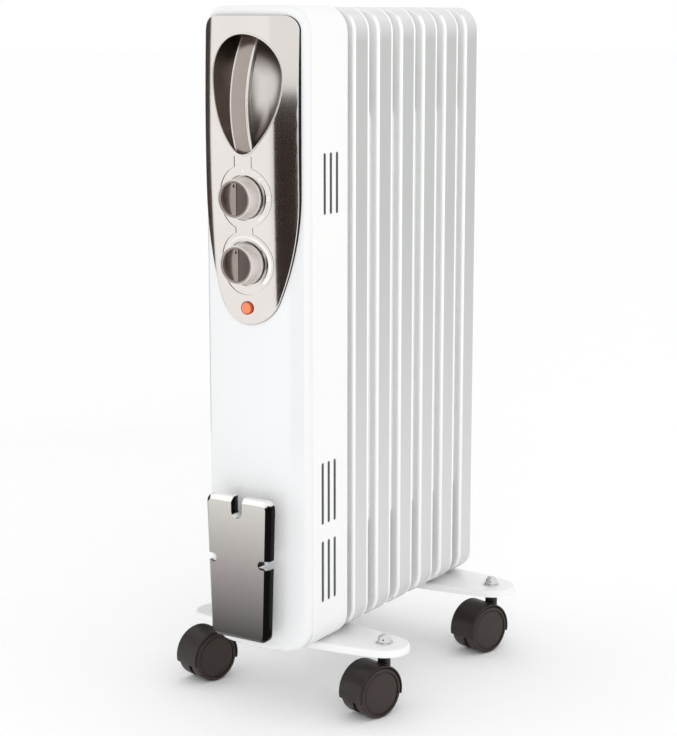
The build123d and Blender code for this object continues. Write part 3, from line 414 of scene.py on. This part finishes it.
# Painted shade: a dark grey matt sheet that stands for the shade inside each vent slot.
painted_slot_shade = start_material("painted_slot_shade_dark_grey_matt", Roughness=0.75, IOR=1.5, Specular_IOR_Level=0.2)
shade = mottle(painted_slot_shade, 2, "4a4e4c", "565a58")
drive(painted_slot_shade, Base_Color=shade)

case_low, case_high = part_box("control_housing")
case_front = case_low.y
slot_width, slot_spacing, shade_sheet_depth, shade_sheet_thickness = 0.004, 0.010, 0.0003, 0.0009
slot_groups = (
    (0.020, case_high.z - 0.180, 0.054),
    (0.016, case_low.z + 0.0445, 0.057),
    (0.016, case_low.z + 0.117, 0.057),
)


def fill_slot_shade_sheets(form):
    """A thin dark stadium of painted shade just inside each slot: three to a group, three groups to a side."""
    for side in (-1, 1):
        for offset, lift, length in slot_groups:
            for step in range(3):
                y = case_front + offset + step * slot_spacing
                low, high = lift + slot_width / 2, lift + length - slot_width / 2
                outline = arc((y, high), slot_width / 2, 0, 180, 8) + arc((y, low), slot_width / 2, 180, 360, 8)
                x = side * (case_high.x - shade_sheet_depth)
                outer = [form.verts.new((x, py, pz)) for py, pz in outline]
                inner = [form.verts.new((x - side * shade_sheet_thickness, py, pz)) for py, pz in outline]
                form.faces.new(outer)
                form.faces.new(inner[::-1])
                for index in range(len(outline)):
                    after = (index + 1) % len(outline)
                    form.faces.new((outer[index], outer[after], inner[after], inner[index]))


inserts = mesh_object("vent_slot_painted_shade", fill_slot_shade_sheets, painted_slot_shade)
fit(inserts, "root", "switch_plastic")

# ---------------------------------------------------------------- fascia
# A thin ABS shell, crowned like a barrel and vacuum metallised to a bright pewter. It is heat-staked to the
# cover, with a thin line engraved round the two dials.

# Vacuum metallised ABS: a warm grey mirror, slightly blurred by the moulded skin under the metal. Where the
# shell's surface turns sideways its colour is painted nearly black, a painted dark reflection along its edges.
pewter = start_material("vacuum_metallised_abs_pewter", Metallic=1.0, Roughness=0.1)
shade = mottle(pewter, 30, "dcd6d2", "e3deda")
# Painted reflection: surfaces turned away from the front go nearly black.
painted_dark_flank = map_range(pewter, normal_axes(pewter)["Y"], -0.55, -0.4)
drive(pewter, Base_Color=blend_colours(pewter, painted_dark_flank, shade, "161211"))
coat(pewter, "fascia")
fascia = frame["nodes"]["fascia"]


def on_fascia(x, z):
    """The point of the fascia's front face at x and z."""
    return fascia.ray_cast((x, case_front - 0.1, z), (0, 1, 0))[1].y


# ---------------------------------------------------------------- handle
# A deep egg-shaped bowl behind the fascia's opening, with a bowed grip across it from top to bottom. Both
# are moulded ABS and metallised: the grip's panel darker than the fascia, the bowl with painted dark reflection
# towards its top, foot and left. The bowl's edge shows as a thin bright bead.

# Metallised ABS in brown-grey: the same mirror, with painted dark reflection towards the bowl's top, foot and left.
smoked = start_material("vacuum_metallised_abs_smoked_painted_dark", Metallic=1.0, Roughness=0.3)
inside = place_axes(smoked)
bowl_low, bowl_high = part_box("handle_bowl")
# Painted reflection: the colour darkens towards the top, the foot and the left of the bowl.
painted_dark_top = map_range(smoked, inside["Z"], bowl_high.z - 0.042, bowl_high.z - 0.014, smooth=True)
painted_dark_foot = map_range(smoked, inside["Z"], bowl_low.z + 0.050, bowl_low.z + 0.018, smooth=True)
painted_dark_left = map_range(smoked, inside["X"], -0.004, -0.026, smooth=True)
painted_dark_reflection = calculate(smoked, "MAXIMUM", calculate(smoked, "MAXIMUM", painted_dark_top, painted_dark_foot), painted_dark_left)
drive(smoked, Base_Color=blend_colours(smoked, painted_dark_reflection, "dad4d0", "6a5f59"))
dimple(smoked, 20, 0.004)

bowl_wall = 2.0
egg_half = bowl_high.x * 1000 - bowl_wall
egg_top = bowl_high.z * 1000 - bowl_wall
egg_bottom = bowl_low.z * 1000 + bowl_wall
tip_radius = 14.0
egg_centre = (egg_top + egg_bottom) / 2
flank_drop = egg_top - egg_half - egg_bottom - tip_radius
flank_radius = (flank_drop**2 + egg_half**2 - tip_radius**2) / (2 * (egg_half - tip_radius))
flank_turn = atan2(flank_drop, flank_radius - egg_half) * 180 / pi


def egg(grow):
    """The opening's outline in millimetres, with its small end down."""
    half = arc((0, egg_top - egg_half), egg_half + grow, 90, 0, 16)
    half += arc((egg_half - flank_radius, egg_top - egg_half), flank_radius + grow, 0, -flank_turn, 14)[1:]
    half += arc((0, egg_bottom + tip_radius), tip_radius + grow, -flank_turn, -90, 8)[1:]
    return half + [(-x, z) for x, z in half[-2:0:-1]]


def join_rings(form, rings):
    """Faces between rings of equally many vertices."""
    for ring, following in zip(rings, rings[1:]):
        for index in range(len(ring)):
            after = (index + 1) % len(ring)
            form.faces.new((ring[index], ring[after], following[after], following[index]))


def fill_bowl(form):
    """The bowl's skin: from the fascia's edge down to a flat floor, in shrinking copies of the egg."""
    floor_y = bowl_high.y - bowl_wall / 1000
    beside = 1.03
    edge = [on_fascia(x / 1000 * beside, (egg_centre + (z - egg_centre) * beside) / 1000) for x, z in egg(0)]
    rings = []
    for grow, proud in ((0.2, -0.6), (-0.2, -0.2)):
        rings.append([form.verts.new((x / 1000, y - proud / 1000, z / 1000)) for (x, z), y in zip(egg(grow), edge)])
    steps, roundness, steepness = 26, 2.5, 0.55
    for step in range(1, steps):
        size = cos(pi / 2 * step / steps) * 0.99
        sink = (1 - size**roundness) ** steepness
        ring = []
        for (x, z), y in zip(egg(-0.3), edge):
            ring.append(form.verts.new((x * size / 1000, y + (floor_y - y) * sink,
                                        (egg_centre + (z - egg_centre) * size) / 1000)))
        rings.append(ring)
    join_rings(form, rings)
    middle = form.verts.new((0, floor_y, egg_centre / 1000))
    last = rings[-1]
    for index in range(len(last)):
        form.faces.new((last[index], last[(index + 1) % len(last)], middle))


bowl = mesh_object("handle_bowl_shell", fill_bowl, smoked)
fit(bowl, "root", "fascia_metal", "handle_bowl")

# Satin metallised ABS: light silver with soft wide highlights.
satin = start_material("satin_metallised_abs", Metallic=1.0, Roughness=0.34)
shade = mottle(satin, 10, "dedad6", "e6e2df")
drive(satin, Base_Color=shade)
dimple(satin, 0.8, 0.002)


def fill_bead(form):
    """The rolled edge between bowl and fascia, following the fascia's crown round the egg."""
    rings = []
    bead_round, bead_grow, bead_proud = 0.85, 0.25, 0.15
    for angle in range(0, 360, 45):
        grow, proud = bead_grow + bead_round * cos(radians(angle)), bead_proud + bead_round * sin(radians(angle))
        ring = []
        for (x, z), (base_x, base_z) in zip(egg(grow), egg(1.6)):
            y = on_fascia(base_x / 1000, base_z / 1000)
            ring.append(form.verts.new((x / 1000, y - proud / 1000, z / 1000)))
        rings.append(ring)
    join_rings(form, rings + rings[:1])


bead = mesh_object("bowl_edge_bead", fill_bead, satin)
fit(bead, "root", "fascia_metal")

# The grip's panel: the smoked metal again, matt enough to keep an even grey-brown.
grip_metal = start_material("vacuum_metallised_abs_grip", Metallic=1.0, Roughness=0.3)
shade = mottle(grip_metal, 15, "a0958f", "a99f99")
drive(grip_metal, Base_Color=shade)
dimple(grip_metal, 12, 0.003)

grip_width, grip_thickness, panel_inset, panel_depth = 19.0, 7.0, 1.9, 0.45
grip_ends = ((-8.0, egg_top + 5.0), (-21.0, egg_bottom - 5.0))
grip_belly = (-32.0, egg_centre - 2.0)


def circle_through(first, second, third):
    """Centre and radius of the circle through three points."""
    (ax, ay), (bx, by), (cx, cy) = first, second, third
    turn_area = 2 * (ax * (by - cy) + bx * (cy - ay) + cx * (ay - by))
    a, b, c = ax**2 + ay**2, bx**2 + by**2, cx**2 + cy**2
    x = (a * (by - cy) + b * (cy - ay) + c * (ay - by)) / turn_area
    y = (a * (cx - bx) + b * (ax - cx) + c * (bx - ax)) / turn_area
    return (x, y), sqrt((ax - x) ** 2 + (ay - y) ** 2)


def bow_section(form, steps, section_at, first=0.0, last=1.0):
    """Sweeps a section of (across, depth) along the grip's bow, between two shares of its length."""
    (middle_y, middle_z), bow = circle_through(grip_ends[0], grip_belly, grip_ends[1])
    start, end = (atan2(z - middle_z, y - middle_y) for y, z in grip_ends)
    if end < start:
        end += 2 * pi
    rings = []
    for step in range(steps + 1):
        angle = start + (end - start) * (first + (last - first) * step / steps)
        rings.append([form.verts.new((x / 1000, case_front + (middle_y + (bow + depth) * cos(angle)) / 1000,
                                      (middle_z + (bow + depth) * sin(angle)) / 1000))
                      for x, depth in section_at(step)])
    join_rings(form, rings)
    form.faces.new(rings[0])
    form.faces.new(rings[-1][::-1])


def fill_grip(form):
    """The bowed bar, with a shallow recess along its front that closes at both ends."""
    half, front_round, back_round, steps = grip_width / 2, 1.6, 2.2, 40
    back = -grip_thickness + back_round
    section = [(-half + panel_inset + 0.3, -panel_depth), (-half + panel_inset, 0.0)]
    section += arc((-half + front_round, -front_round), front_round, 90, 180, 5)
    section += arc((-half + back_round, back), back_round, 180, 270, 5)
    section += arc((half - back_round, back), back_round, 270, 360, 5)
    section += arc((half - front_round, -front_round), front_round, 0, 90, 5)
    section += [(half - panel_inset, 0.0), (half - panel_inset - 0.3, -panel_depth)]
    shut = [(x, max(depth, 0.0) if depth > -1 else depth) for x, depth in section]
    bow_section(form, steps, lambda step: shut if step < 2 or step > steps - 2 else section)


def fill_panel(form):
    """The inset strip that lies in the grip's recess."""
    half = grip_width / 2 - panel_inset - 0.5
    section = [(-half, -0.3), (-half + 0.4, -0.12), (half - 0.4, -0.12), (half, -0.3), (half, -1.0), (-half, -1.0)]
    bow_section(form, 36, lambda step: section, 0.055, 0.945)


grip = mesh_object("carry_grip", fill_grip, satin)
fit(grip, "root", "fascia_metal", "handle_grip")
panel = mesh_object("carry_grip_panel", fill_panel, grip_metal)
fit(panel, "root", "fascia_metal")

# ---------------------------------------------------------------- dials
# Two knobs turned down from the switch and the thermostat behind. Each is a satin metallised ABS skirt
# with a smoked insert: a finger ridge between two sloping scoops, and a painted pointer at its top.

# The inserts' satin metal over a dark base: grey-brown, with blurred reflections.
insert_metal = start_material("satin_metallised_abs_smoked", Metallic=1.0, Roughness=0.22)
shade = mottle(insert_metal, 10, "968c86", "9f958f")
drive(insert_metal, Base_Color=shade)
dimple(insert_metal, 0.8, 0.002)

# Pad-printed ink, white: thin flat strokes that stay bright where the metal round them goes dark.
white_ink = start_material("pad_printed_ink_white", Roughness=0.55, IOR=1.5)
shade = mottle(white_ink, 1, "f4f4f2", "fbfbfa")
drive(white_ink, Base_Color=shade)

# Pad-printed ink, black: a small flat mark that shows which way a knob points.
black_ink = start_material("pad_printed_ink_black", Roughness=0.6, IOR=1.5, Specular_IOR_Level=0.2)
shade = mottle(black_ink, 1, "1c1816", "26211f")
drive(black_ink, Base_Color=shade)

recess_radius, recess_depth, ridge_half, ridge_round = 14.2, 6.0, 2.5, 0.5
scoop_high, scoop_low = 0.5, 5.2
bezel_radius, bezel_set = 16.2, 0.35
knob_bore, foot_radius, foot_round, skirt_radius, front_radius, front_round = 5.0, 18.4, 0.6, 18.75, 16.0, 0.9


def knob_profile(length):
    """The knob's section from its back, with a rounded foot, a tapered skirt and a recessed front."""
    profile = [(0.0, knob_bore), (0.0, foot_radius)] + arc((foot_round, foot_radius), foot_round, 180, 90, 4)
    profile += [(4.2, skirt_radius), (4.5, skirt_radius - 0.3), (length - 1.4, front_radius + 1.0)]
    profile += arc((length - front_round, front_radius), front_round, 75, 0, 5)
    profile += [(length, bezel_radius + 0.1), (length - bezel_set, bezel_radius)]
    return profile + [(length - recess_depth, bezel_radius), (length - recess_depth, knob_bore)]


def bezel_profile(length):
    """The smoked ring between the skirt and the recess."""
    front = length - bezel_set + 0.15
    profile = [(length - recess_depth, recess_radius), (length - recess_depth, bezel_radius)]
    return profile + [(front - 0.2, bezel_radius), (front, bezel_radius - 0.3), (front, recess_radius + 0.4),
                      (front - 0.4, recess_radius)]


def fill_scoops(form, z, front):
    """The insert as a height field over the recess: ridge in the middle, a sloping scoop on each side."""
    edge = recess_radius - 0.02
    half_stations = [(0.0, 0.0), (ridge_half - ridge_round, 0.0), (ridge_half - 0.15, 0.12),
                     (ridge_half, ridge_round), (ridge_half + 0.05, scoop_high + 0.4)]
    for step in range(1, 11):
        x = ridge_half + 0.05 + (edge - 0.1 - ridge_half) * step / 10
        half_stations.append((x, scoop_high + 0.4 + (scoop_low - scoop_high - 0.4) * step / 10))
    stations = [(-x, depth) for x, depth in half_stations[:0:-1]] + half_stations
    rows = []
    for x, depth in stations:
        reach = sqrt(max(edge**2 - x**2, 0.01))
        rows.append([form.verts.new((x / 1000, front + depth / 1000, (z * 1000 + reach * (step / 10 - 1)) / 1000))
                     for step in range(21)])
    for row, following in zip(rows, rows[1:]):
        for step in range(20):
            form.faces.new((row[step], row[step + 1], following[step + 1], following[step]))
    rim = [row[-1] for row in rows] + rows[-1][-2:0:-1] + [row[0] for row in rows[::-1]] + rows[0][1:-1]
    back = [form.verts.new((vert.co.x, front + recess_depth / 1000, vert.co.z)) for vert in rim]
    join_rings(form, [rim, back])
    form.faces.new(back)


def fill_pointer(form, z, front):
    """A small drop-shaped mark at the top of the ridge."""
    outline = arc((0.0, z * 1000 + 11.0), 1.1, 180, 360, 8) + [(0.0, z * 1000 + 13.6)]
    for proud, flip in ((0.06, 1), (-0.2, -1)):
        ring = [form.verts.new((x / 1000, front - proud / 1000, pz / 1000)) for x, pz in outline]
        form.faces.new(ring[::flip])
        if flip == 1:
            top = ring
    join_rings(form, [top, ring])


for dial in ("power", "thermostat"):
    knob_low, knob_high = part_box(f"{dial}_knob")
    knob_z = (knob_low.z + knob_high.z) / 2
    knob_length = (knob_high.y - knob_low.y) * 1000
    knob = mesh_object(f"{dial}_knob_skirt",
                       lambda form: turn(form, knob_profile(knob_length), (0, knob_high.y, knob_z), (0, -1, 0), 128),
                       satin)
    fit(knob, f"{dial}_dial", "knob_metal", f"{dial}_knob")
    bezel = mesh_object(f"{dial}_knob_bezel",
                        lambda form: turn(form, bezel_profile(knob_length), (0, knob_high.y, knob_z), (0, -1, 0), 128),
                        insert_metal)
    fit(bezel, f"{dial}_dial", "knob_face_metal")
    insert = mesh_object(f"{dial}_knob_insert", lambda form: fill_scoops(form, knob_z, knob_low.y + 0.0002),
                         insert_metal)
    fit(insert, f"{dial}_dial", "knob_face_metal", f"{dial}_knob_face")
    pointer = mesh_object(f"{dial}_pointer", lambda form: fill_pointer(form, knob_z, knob_low.y + 0.0002), black_ink)
    fit(pointer, f"{dial}_dial", "switch_plastic")


def fill_patch(form, z, inner, outer, start, end, taper=1.0):
    """A printed mark on the fascia between two radii and two angles, clockwise from the top."""
    count = max(3, int(abs(end - start) / 4) + 1)
    rows = []
    for step in range(count):
        share = step / (count - 1)
        angle = radians(start + (end - start) * share)
        reach = inner + (outer - inner) * (taper + (1 - taper) * share)
        for proud in (0.08, -0.1):
            rows.append([form.verts.new((radius / 1000 * sin(angle),
                                         on_fascia(radius / 1000 * sin(angle), z + radius / 1000 * cos(angle))
                                         - proud / 1000, z + radius / 1000 * cos(angle)))
                         for radius in (inner, reach)])
    for step in range(count - 1):
        top, under, next_top, next_under = rows[2 * step:2 * step + 4]
        form.faces.new((top[0], top[1], next_top[1], next_top[0]))
        form.faces.new((under[0], next_under[0], next_under[1], under[1]))
        form.faces.new((top[0], next_top[0], next_under[0], under[0]))
        form.faces.new((top[1], under[1], next_under[1], next_top[1]))
    first_top, first_under, last_top, last_under = rows[0], rows[1], rows[-2], rows[-1]
    form.faces.new((first_top[0], first_under[0], first_under[1], first_top[1]))
    form.faces.new((last_top[0], last_top[1], last_under[1], last_under[0]))


def fill_marks(form):
    """Strokes that count the power settings, and a wedge that widens with the thermostat's heat."""
    power_z, thermostat_z = ((low.z + high.z) / 2 for low, high in map(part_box, ("power_knob", "thermostat_knob")))
    stroke_half, stroke_spacing = 1.2, 5
    for angle, strokes in ((0, 1), (45, 1), (90, 2), (135, 3)):
        for stroke in range(strokes):
            middle = angle + (stroke - (strokes - 1) / 2) * stroke_spacing
            fill_patch(form, power_z, 22.4, 25.2, middle - stroke_half, middle + stroke_half)
    fill_patch(form, thermostat_z, 22.6, 25.4, -135, 135, taper=0.12)


marks = mesh_object("dial_marks", fill_marks, white_ink)
fit(marks, "root", "post_plastic")

# ---------------------------------------------------------------- lamp
# A round orange lens pressed into the fascia over a small neon lamp, with rings moulded into its dome.

# Tinted polycarbonate, lit a little from behind.
amber = start_material("tinted_polycarbonate_orange", Roughness=0.18, IOR=1.58, Emission_Color=linear("ff7a48"),
                       Emission_Strength=0.35)
shade = mottle(amber, 3, "ef6a3e", "f97c50")
drive(amber, Base_Color=shade)

# The lens's rim, unlit: the same plastic in a deeper orange.
amber_edge = start_material("tinted_polycarbonate_deep_orange", Roughness=0.2, IOR=1.58)
shade = mottle(amber_edge, 3, "9c4322", "a84b28")
drive(amber_edge, Base_Color=shade)

lens_low, lens_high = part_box("lamp_lens")
lens_z = (lens_low.z + lens_high.z) / 2
lens_length = (lens_high.y - lens_low.y) * 1000
lens_neck, lens_edge, dome_edge, dome_foot, dome_rise = 4.4, 6.0, 4.7, 1.7, 0.7
lens_rim = [(0.0, 0.0), (0.0, lens_neck), (lens_length - 2.7, lens_neck), (lens_length - 2.6, lens_edge),
            (lens_length - dome_foot, lens_edge)]
lens_rim += arc((lens_length - 1.6, 5.4), 0.5, 90, 0, 4) + [(lens_length - 1.6, 0.0)]
lens_dome = [(lens_length - dome_foot, 0.0), (lens_length - dome_foot, dome_edge), (lens_length - 1.1, dome_edge)]
for ring_radius in (4.0, 3.2, 2.4, 1.6, 0.8):
    crest = lens_length - 0.2 - dome_rise * (ring_radius / 4.6) ** 2
    lens_dome += [(crest - 0.12, ring_radius + 0.35), (crest, ring_radius)]
lens_dome += [(lens_length - 0.15, 0.0)]
rim = mesh_object("lamp_lens_rim", lambda form: turn(form, lens_rim, (0, lens_high.y, lens_z), (0, -1, 0), 64),
                  amber_edge)
fit(rim, "root", "lens_orange", "lamp_lens")
dome = mesh_object("lamp_lens_dome", lambda form: turn(form, lens_dome, (0, lens_high.y, lens_z), (0, -1, 0), 64),
                   amber)
fit(dome, "root", "lens_orange")

# ---------------------------------------------------------------- cord storage
# A metallised plate screwed to an oval post on the cover. The mains cord is wound on the post behind it,
# and its ends are nipped in the three notches.

# Metallised plate with its reflections painted into its colour: a painted gradient from dark at the foot to
# bright at the top, a painted highlight on the top bevel and painted dark reflection on the foot and side bevels.
graded = start_material("vacuum_metallised_abs_painted_reflection", Metallic=1.0, Roughness=0.16)
plate_low, plate_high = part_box("cord_wrap_plate")
# Painted reflection: the colour runs from dark at the foot to bright at the top.
rise = map_range(graded, place_axes(graded)["Z"], plate_low.z, plate_high.z)
ramp = add_node(graded, "ShaderNodeValToRGB", Fac=rise)
ramp.color_ramp.elements[0].color = linear("454341")
ramp.color_ramp.elements[1].color = linear("d3cfca")
ramp.color_ramp.elements.new(0.45).color = linear("979290")
facing = normal_axes(graded)
sideways = calculate(graded, "ABSOLUTE", facing["X"])
painted_dark_sides = map_range(graded, sideways, 0.45, 0.6)
painted_dark_plate_foot = map_range(graded, facing["Z"], -0.45, -0.6)
painted_top_highlight = map_range(graded, facing["Z"], 0.45, 0.6)
shade = ramp.outputs["Color"]
# Painted reflection: side and foot bevels near black, and a painted highlight on the top bevel.
for mask, tint in ((painted_dark_sides, "12100f"), (painted_dark_plate_foot, "12100f"), (painted_top_highlight, "f6f5f3")):
    shade = blend_colours(graded, mask, shade, tint)
drive(graded, Base_Color=shade)

plate_half, foot_taper, corner_radius = plate_high.x * 1000, 4.5, 8.0
plate_top, plate_foot = plate_high.z * 1000, plate_low.z * 1000
top_notch, top_notch_depth = 5.5, 18.0
side_notch, side_notch_depth, side_notch_z = 3.75, 11.0, case_low.z * 1000 + 88.5


def plate_outline(inset, notch_inset):
    """The plate's edge in millimetres, moved in by inset: rounded corners, one top and two side notches."""
    half, top, foot, corner = plate_half - inset, plate_top - inset, plate_foot + inset, corner_radius - inset
    notch_x = plate_half - side_notch_depth + side_notch
    right = arc((0, plate_top - top_notch_depth + top_notch), top_notch + notch_inset, -90, 0, 6)
    right += [(top_notch + notch_inset, top)]
    right += arc((half - corner, top - corner), corner, 90, 0, 8)
    right += [(half, side_notch_z + side_notch + notch_inset)]
    right += arc((notch_x, side_notch_z), side_notch + notch_inset, 90, 270, 10)
    right += [(half, side_notch_z - side_notch - notch_inset)]
    right += arc((half - corner, foot + corner), corner, 0, -90, 8)
    taper = foot_taper / plate_half / (plate_top - plate_foot)
    right = [(x * (1 - taper * (plate_top - z)), z) for x, z in right]
    return right + [(-x, z) for x, z in right[:0:-1]]


def fill_plate(form):
    """A dished face, its bevel, a rolled edge and the hollow back, as rings of (inset, notch inset, place in Y)."""
    rings = []
    for inset, notch_inset, back in ((4.0, 0.35, 0.0), (0.6, 0.1, 3.2), (0.15, 0.05, 3.8), (0.0, 0.0, 4.8),
                                     (0.0, 0.0, 10.1), (0.4, 0.2, 10.5), (1.8, 0.6, 10.5), (1.8, 0.6, 5.4)):
        rings.append([form.verts.new((x / 1000, plate_low.y + back / 1000, z / 1000))
                      for x, z in plate_outline(inset, notch_inset)])
    join_rings(form, rings)
    form.faces.new(rings[0])
    form.faces.new(rings[-1][::-1])


plate = mesh_object("cord_plate_shell", fill_plate, graded)
fit(plate, "root", "cord_plate_metal", "cord_wrap_plate")

# ---------------------------------------------------------------- studio
# A pale floor, one large soft box on the left that the metallised parts mirror, dark cards beside it
# that give them their dark edges, and a bright even surround. None of it belongs to the heater.
camera = bpy.data.objects.new("camera", bpy.data.cameras.new("camera"))
camera.data.lens = 1870 * 36 / 736
camera.data.sensor_width = 36
camera.data.clip_end = 60
camera.location = (0.932, -1.484, 0.633)
camera.rotation_euler = (radians(90 - 10.74), 0, radians(32.20))
bpy.context.scene.collection.objects.link(camera)
bpy.context.scene.camera = camera
bpy.context.scene.view_settings.view_transform = "Standard"

world = bpy.data.worlds.new("bright_surround")
world.use_nodes = True
world.node_tree.nodes["Background"].inputs["Color"].default_value = linear("ffffff")
world.node_tree.nodes["Background"].inputs["Strength"].default_value = 1.0
world.cycles.sampling_method = "NONE"
bpy.context.scene.world = world

# Matt paper: a plain white that only takes the soft shadows.
floor_paper = start_material("matt_white_paper", Roughness=0.9)
shade = mottle(floor_paper, 40, "fdfdfd", "ffffff")
drive(floor_paper, Base_Color=shade)


def fill_floor(form):
    bmesh.ops.create_circle(form, cap_ends=True, segments=96, radius=30)


floor = mesh_object("floor", fill_floor, floor_paper)
floor.location.z = -0.0002


def card(name, start, end, radius, bottom, top, colour, strength):
    """An upright curved card round the heater, seen only in reflections; angles from the front, in degrees."""
    def fill(form):
        rows = []
        for height in (bottom, top):
            angles = [radians(start + (end - start) * step / 24) for step in range(25)]
            rows.append([form.verts.new((radius * sin(a), -radius * cos(a), height)) for a in angles])
        for step in range(24):
            form.faces.new((rows[0][step], rows[0][step + 1], rows[1][step + 1], rows[1][step]))
    # A card's own even glow, with no reflection on it.
    material = start_material(name, Roughness=1.0, Base_Color=linear("000000"), Specular_IOR_Level=0.0,
                              Emission_Color=linear(colour), Emission_Strength=strength)
    material.cycles.emission_sampling = "NONE"
    thing = mesh_object(name, fill, material)
    thing.visible_camera = False
    thing.visible_diffuse = False
    thing.visible_shadow = False
    thing.visible_transmission = False


card_radius = 1.15
card("softbox_left", -77, -1, card_radius, 0.0, 2.0, "ffffff", 1.1)
card("dark_card_front", 3, 27, card_radius, 0.0, 0.56, "3a322e", 1.0)
card("dark_card_left", -150, -79, card_radius, 0.0, 0.72, "4a403c", 1.0)


def soft_light(name, place, aim, size, power):
    """A square area light turned towards a point."""
    light = bpy.data.lights.new(name, "AREA")
    light.size = size
    light.energy = power
    thing = bpy.data.objects.new(name, light)
    thing.location = place
    thing.rotation_euler = (Vector(aim) - Vector(place)).to_track_quat("-Z", "Y").to_euler()
    thing.visible_camera = False
    thing.visible_glossy = False
    bpy.context.scene.collection.objects.link(thing)


soft_light("soft_light_front", (1.3, -2.0, 1.1), (0, 0, 0.3), 1.4, 8)
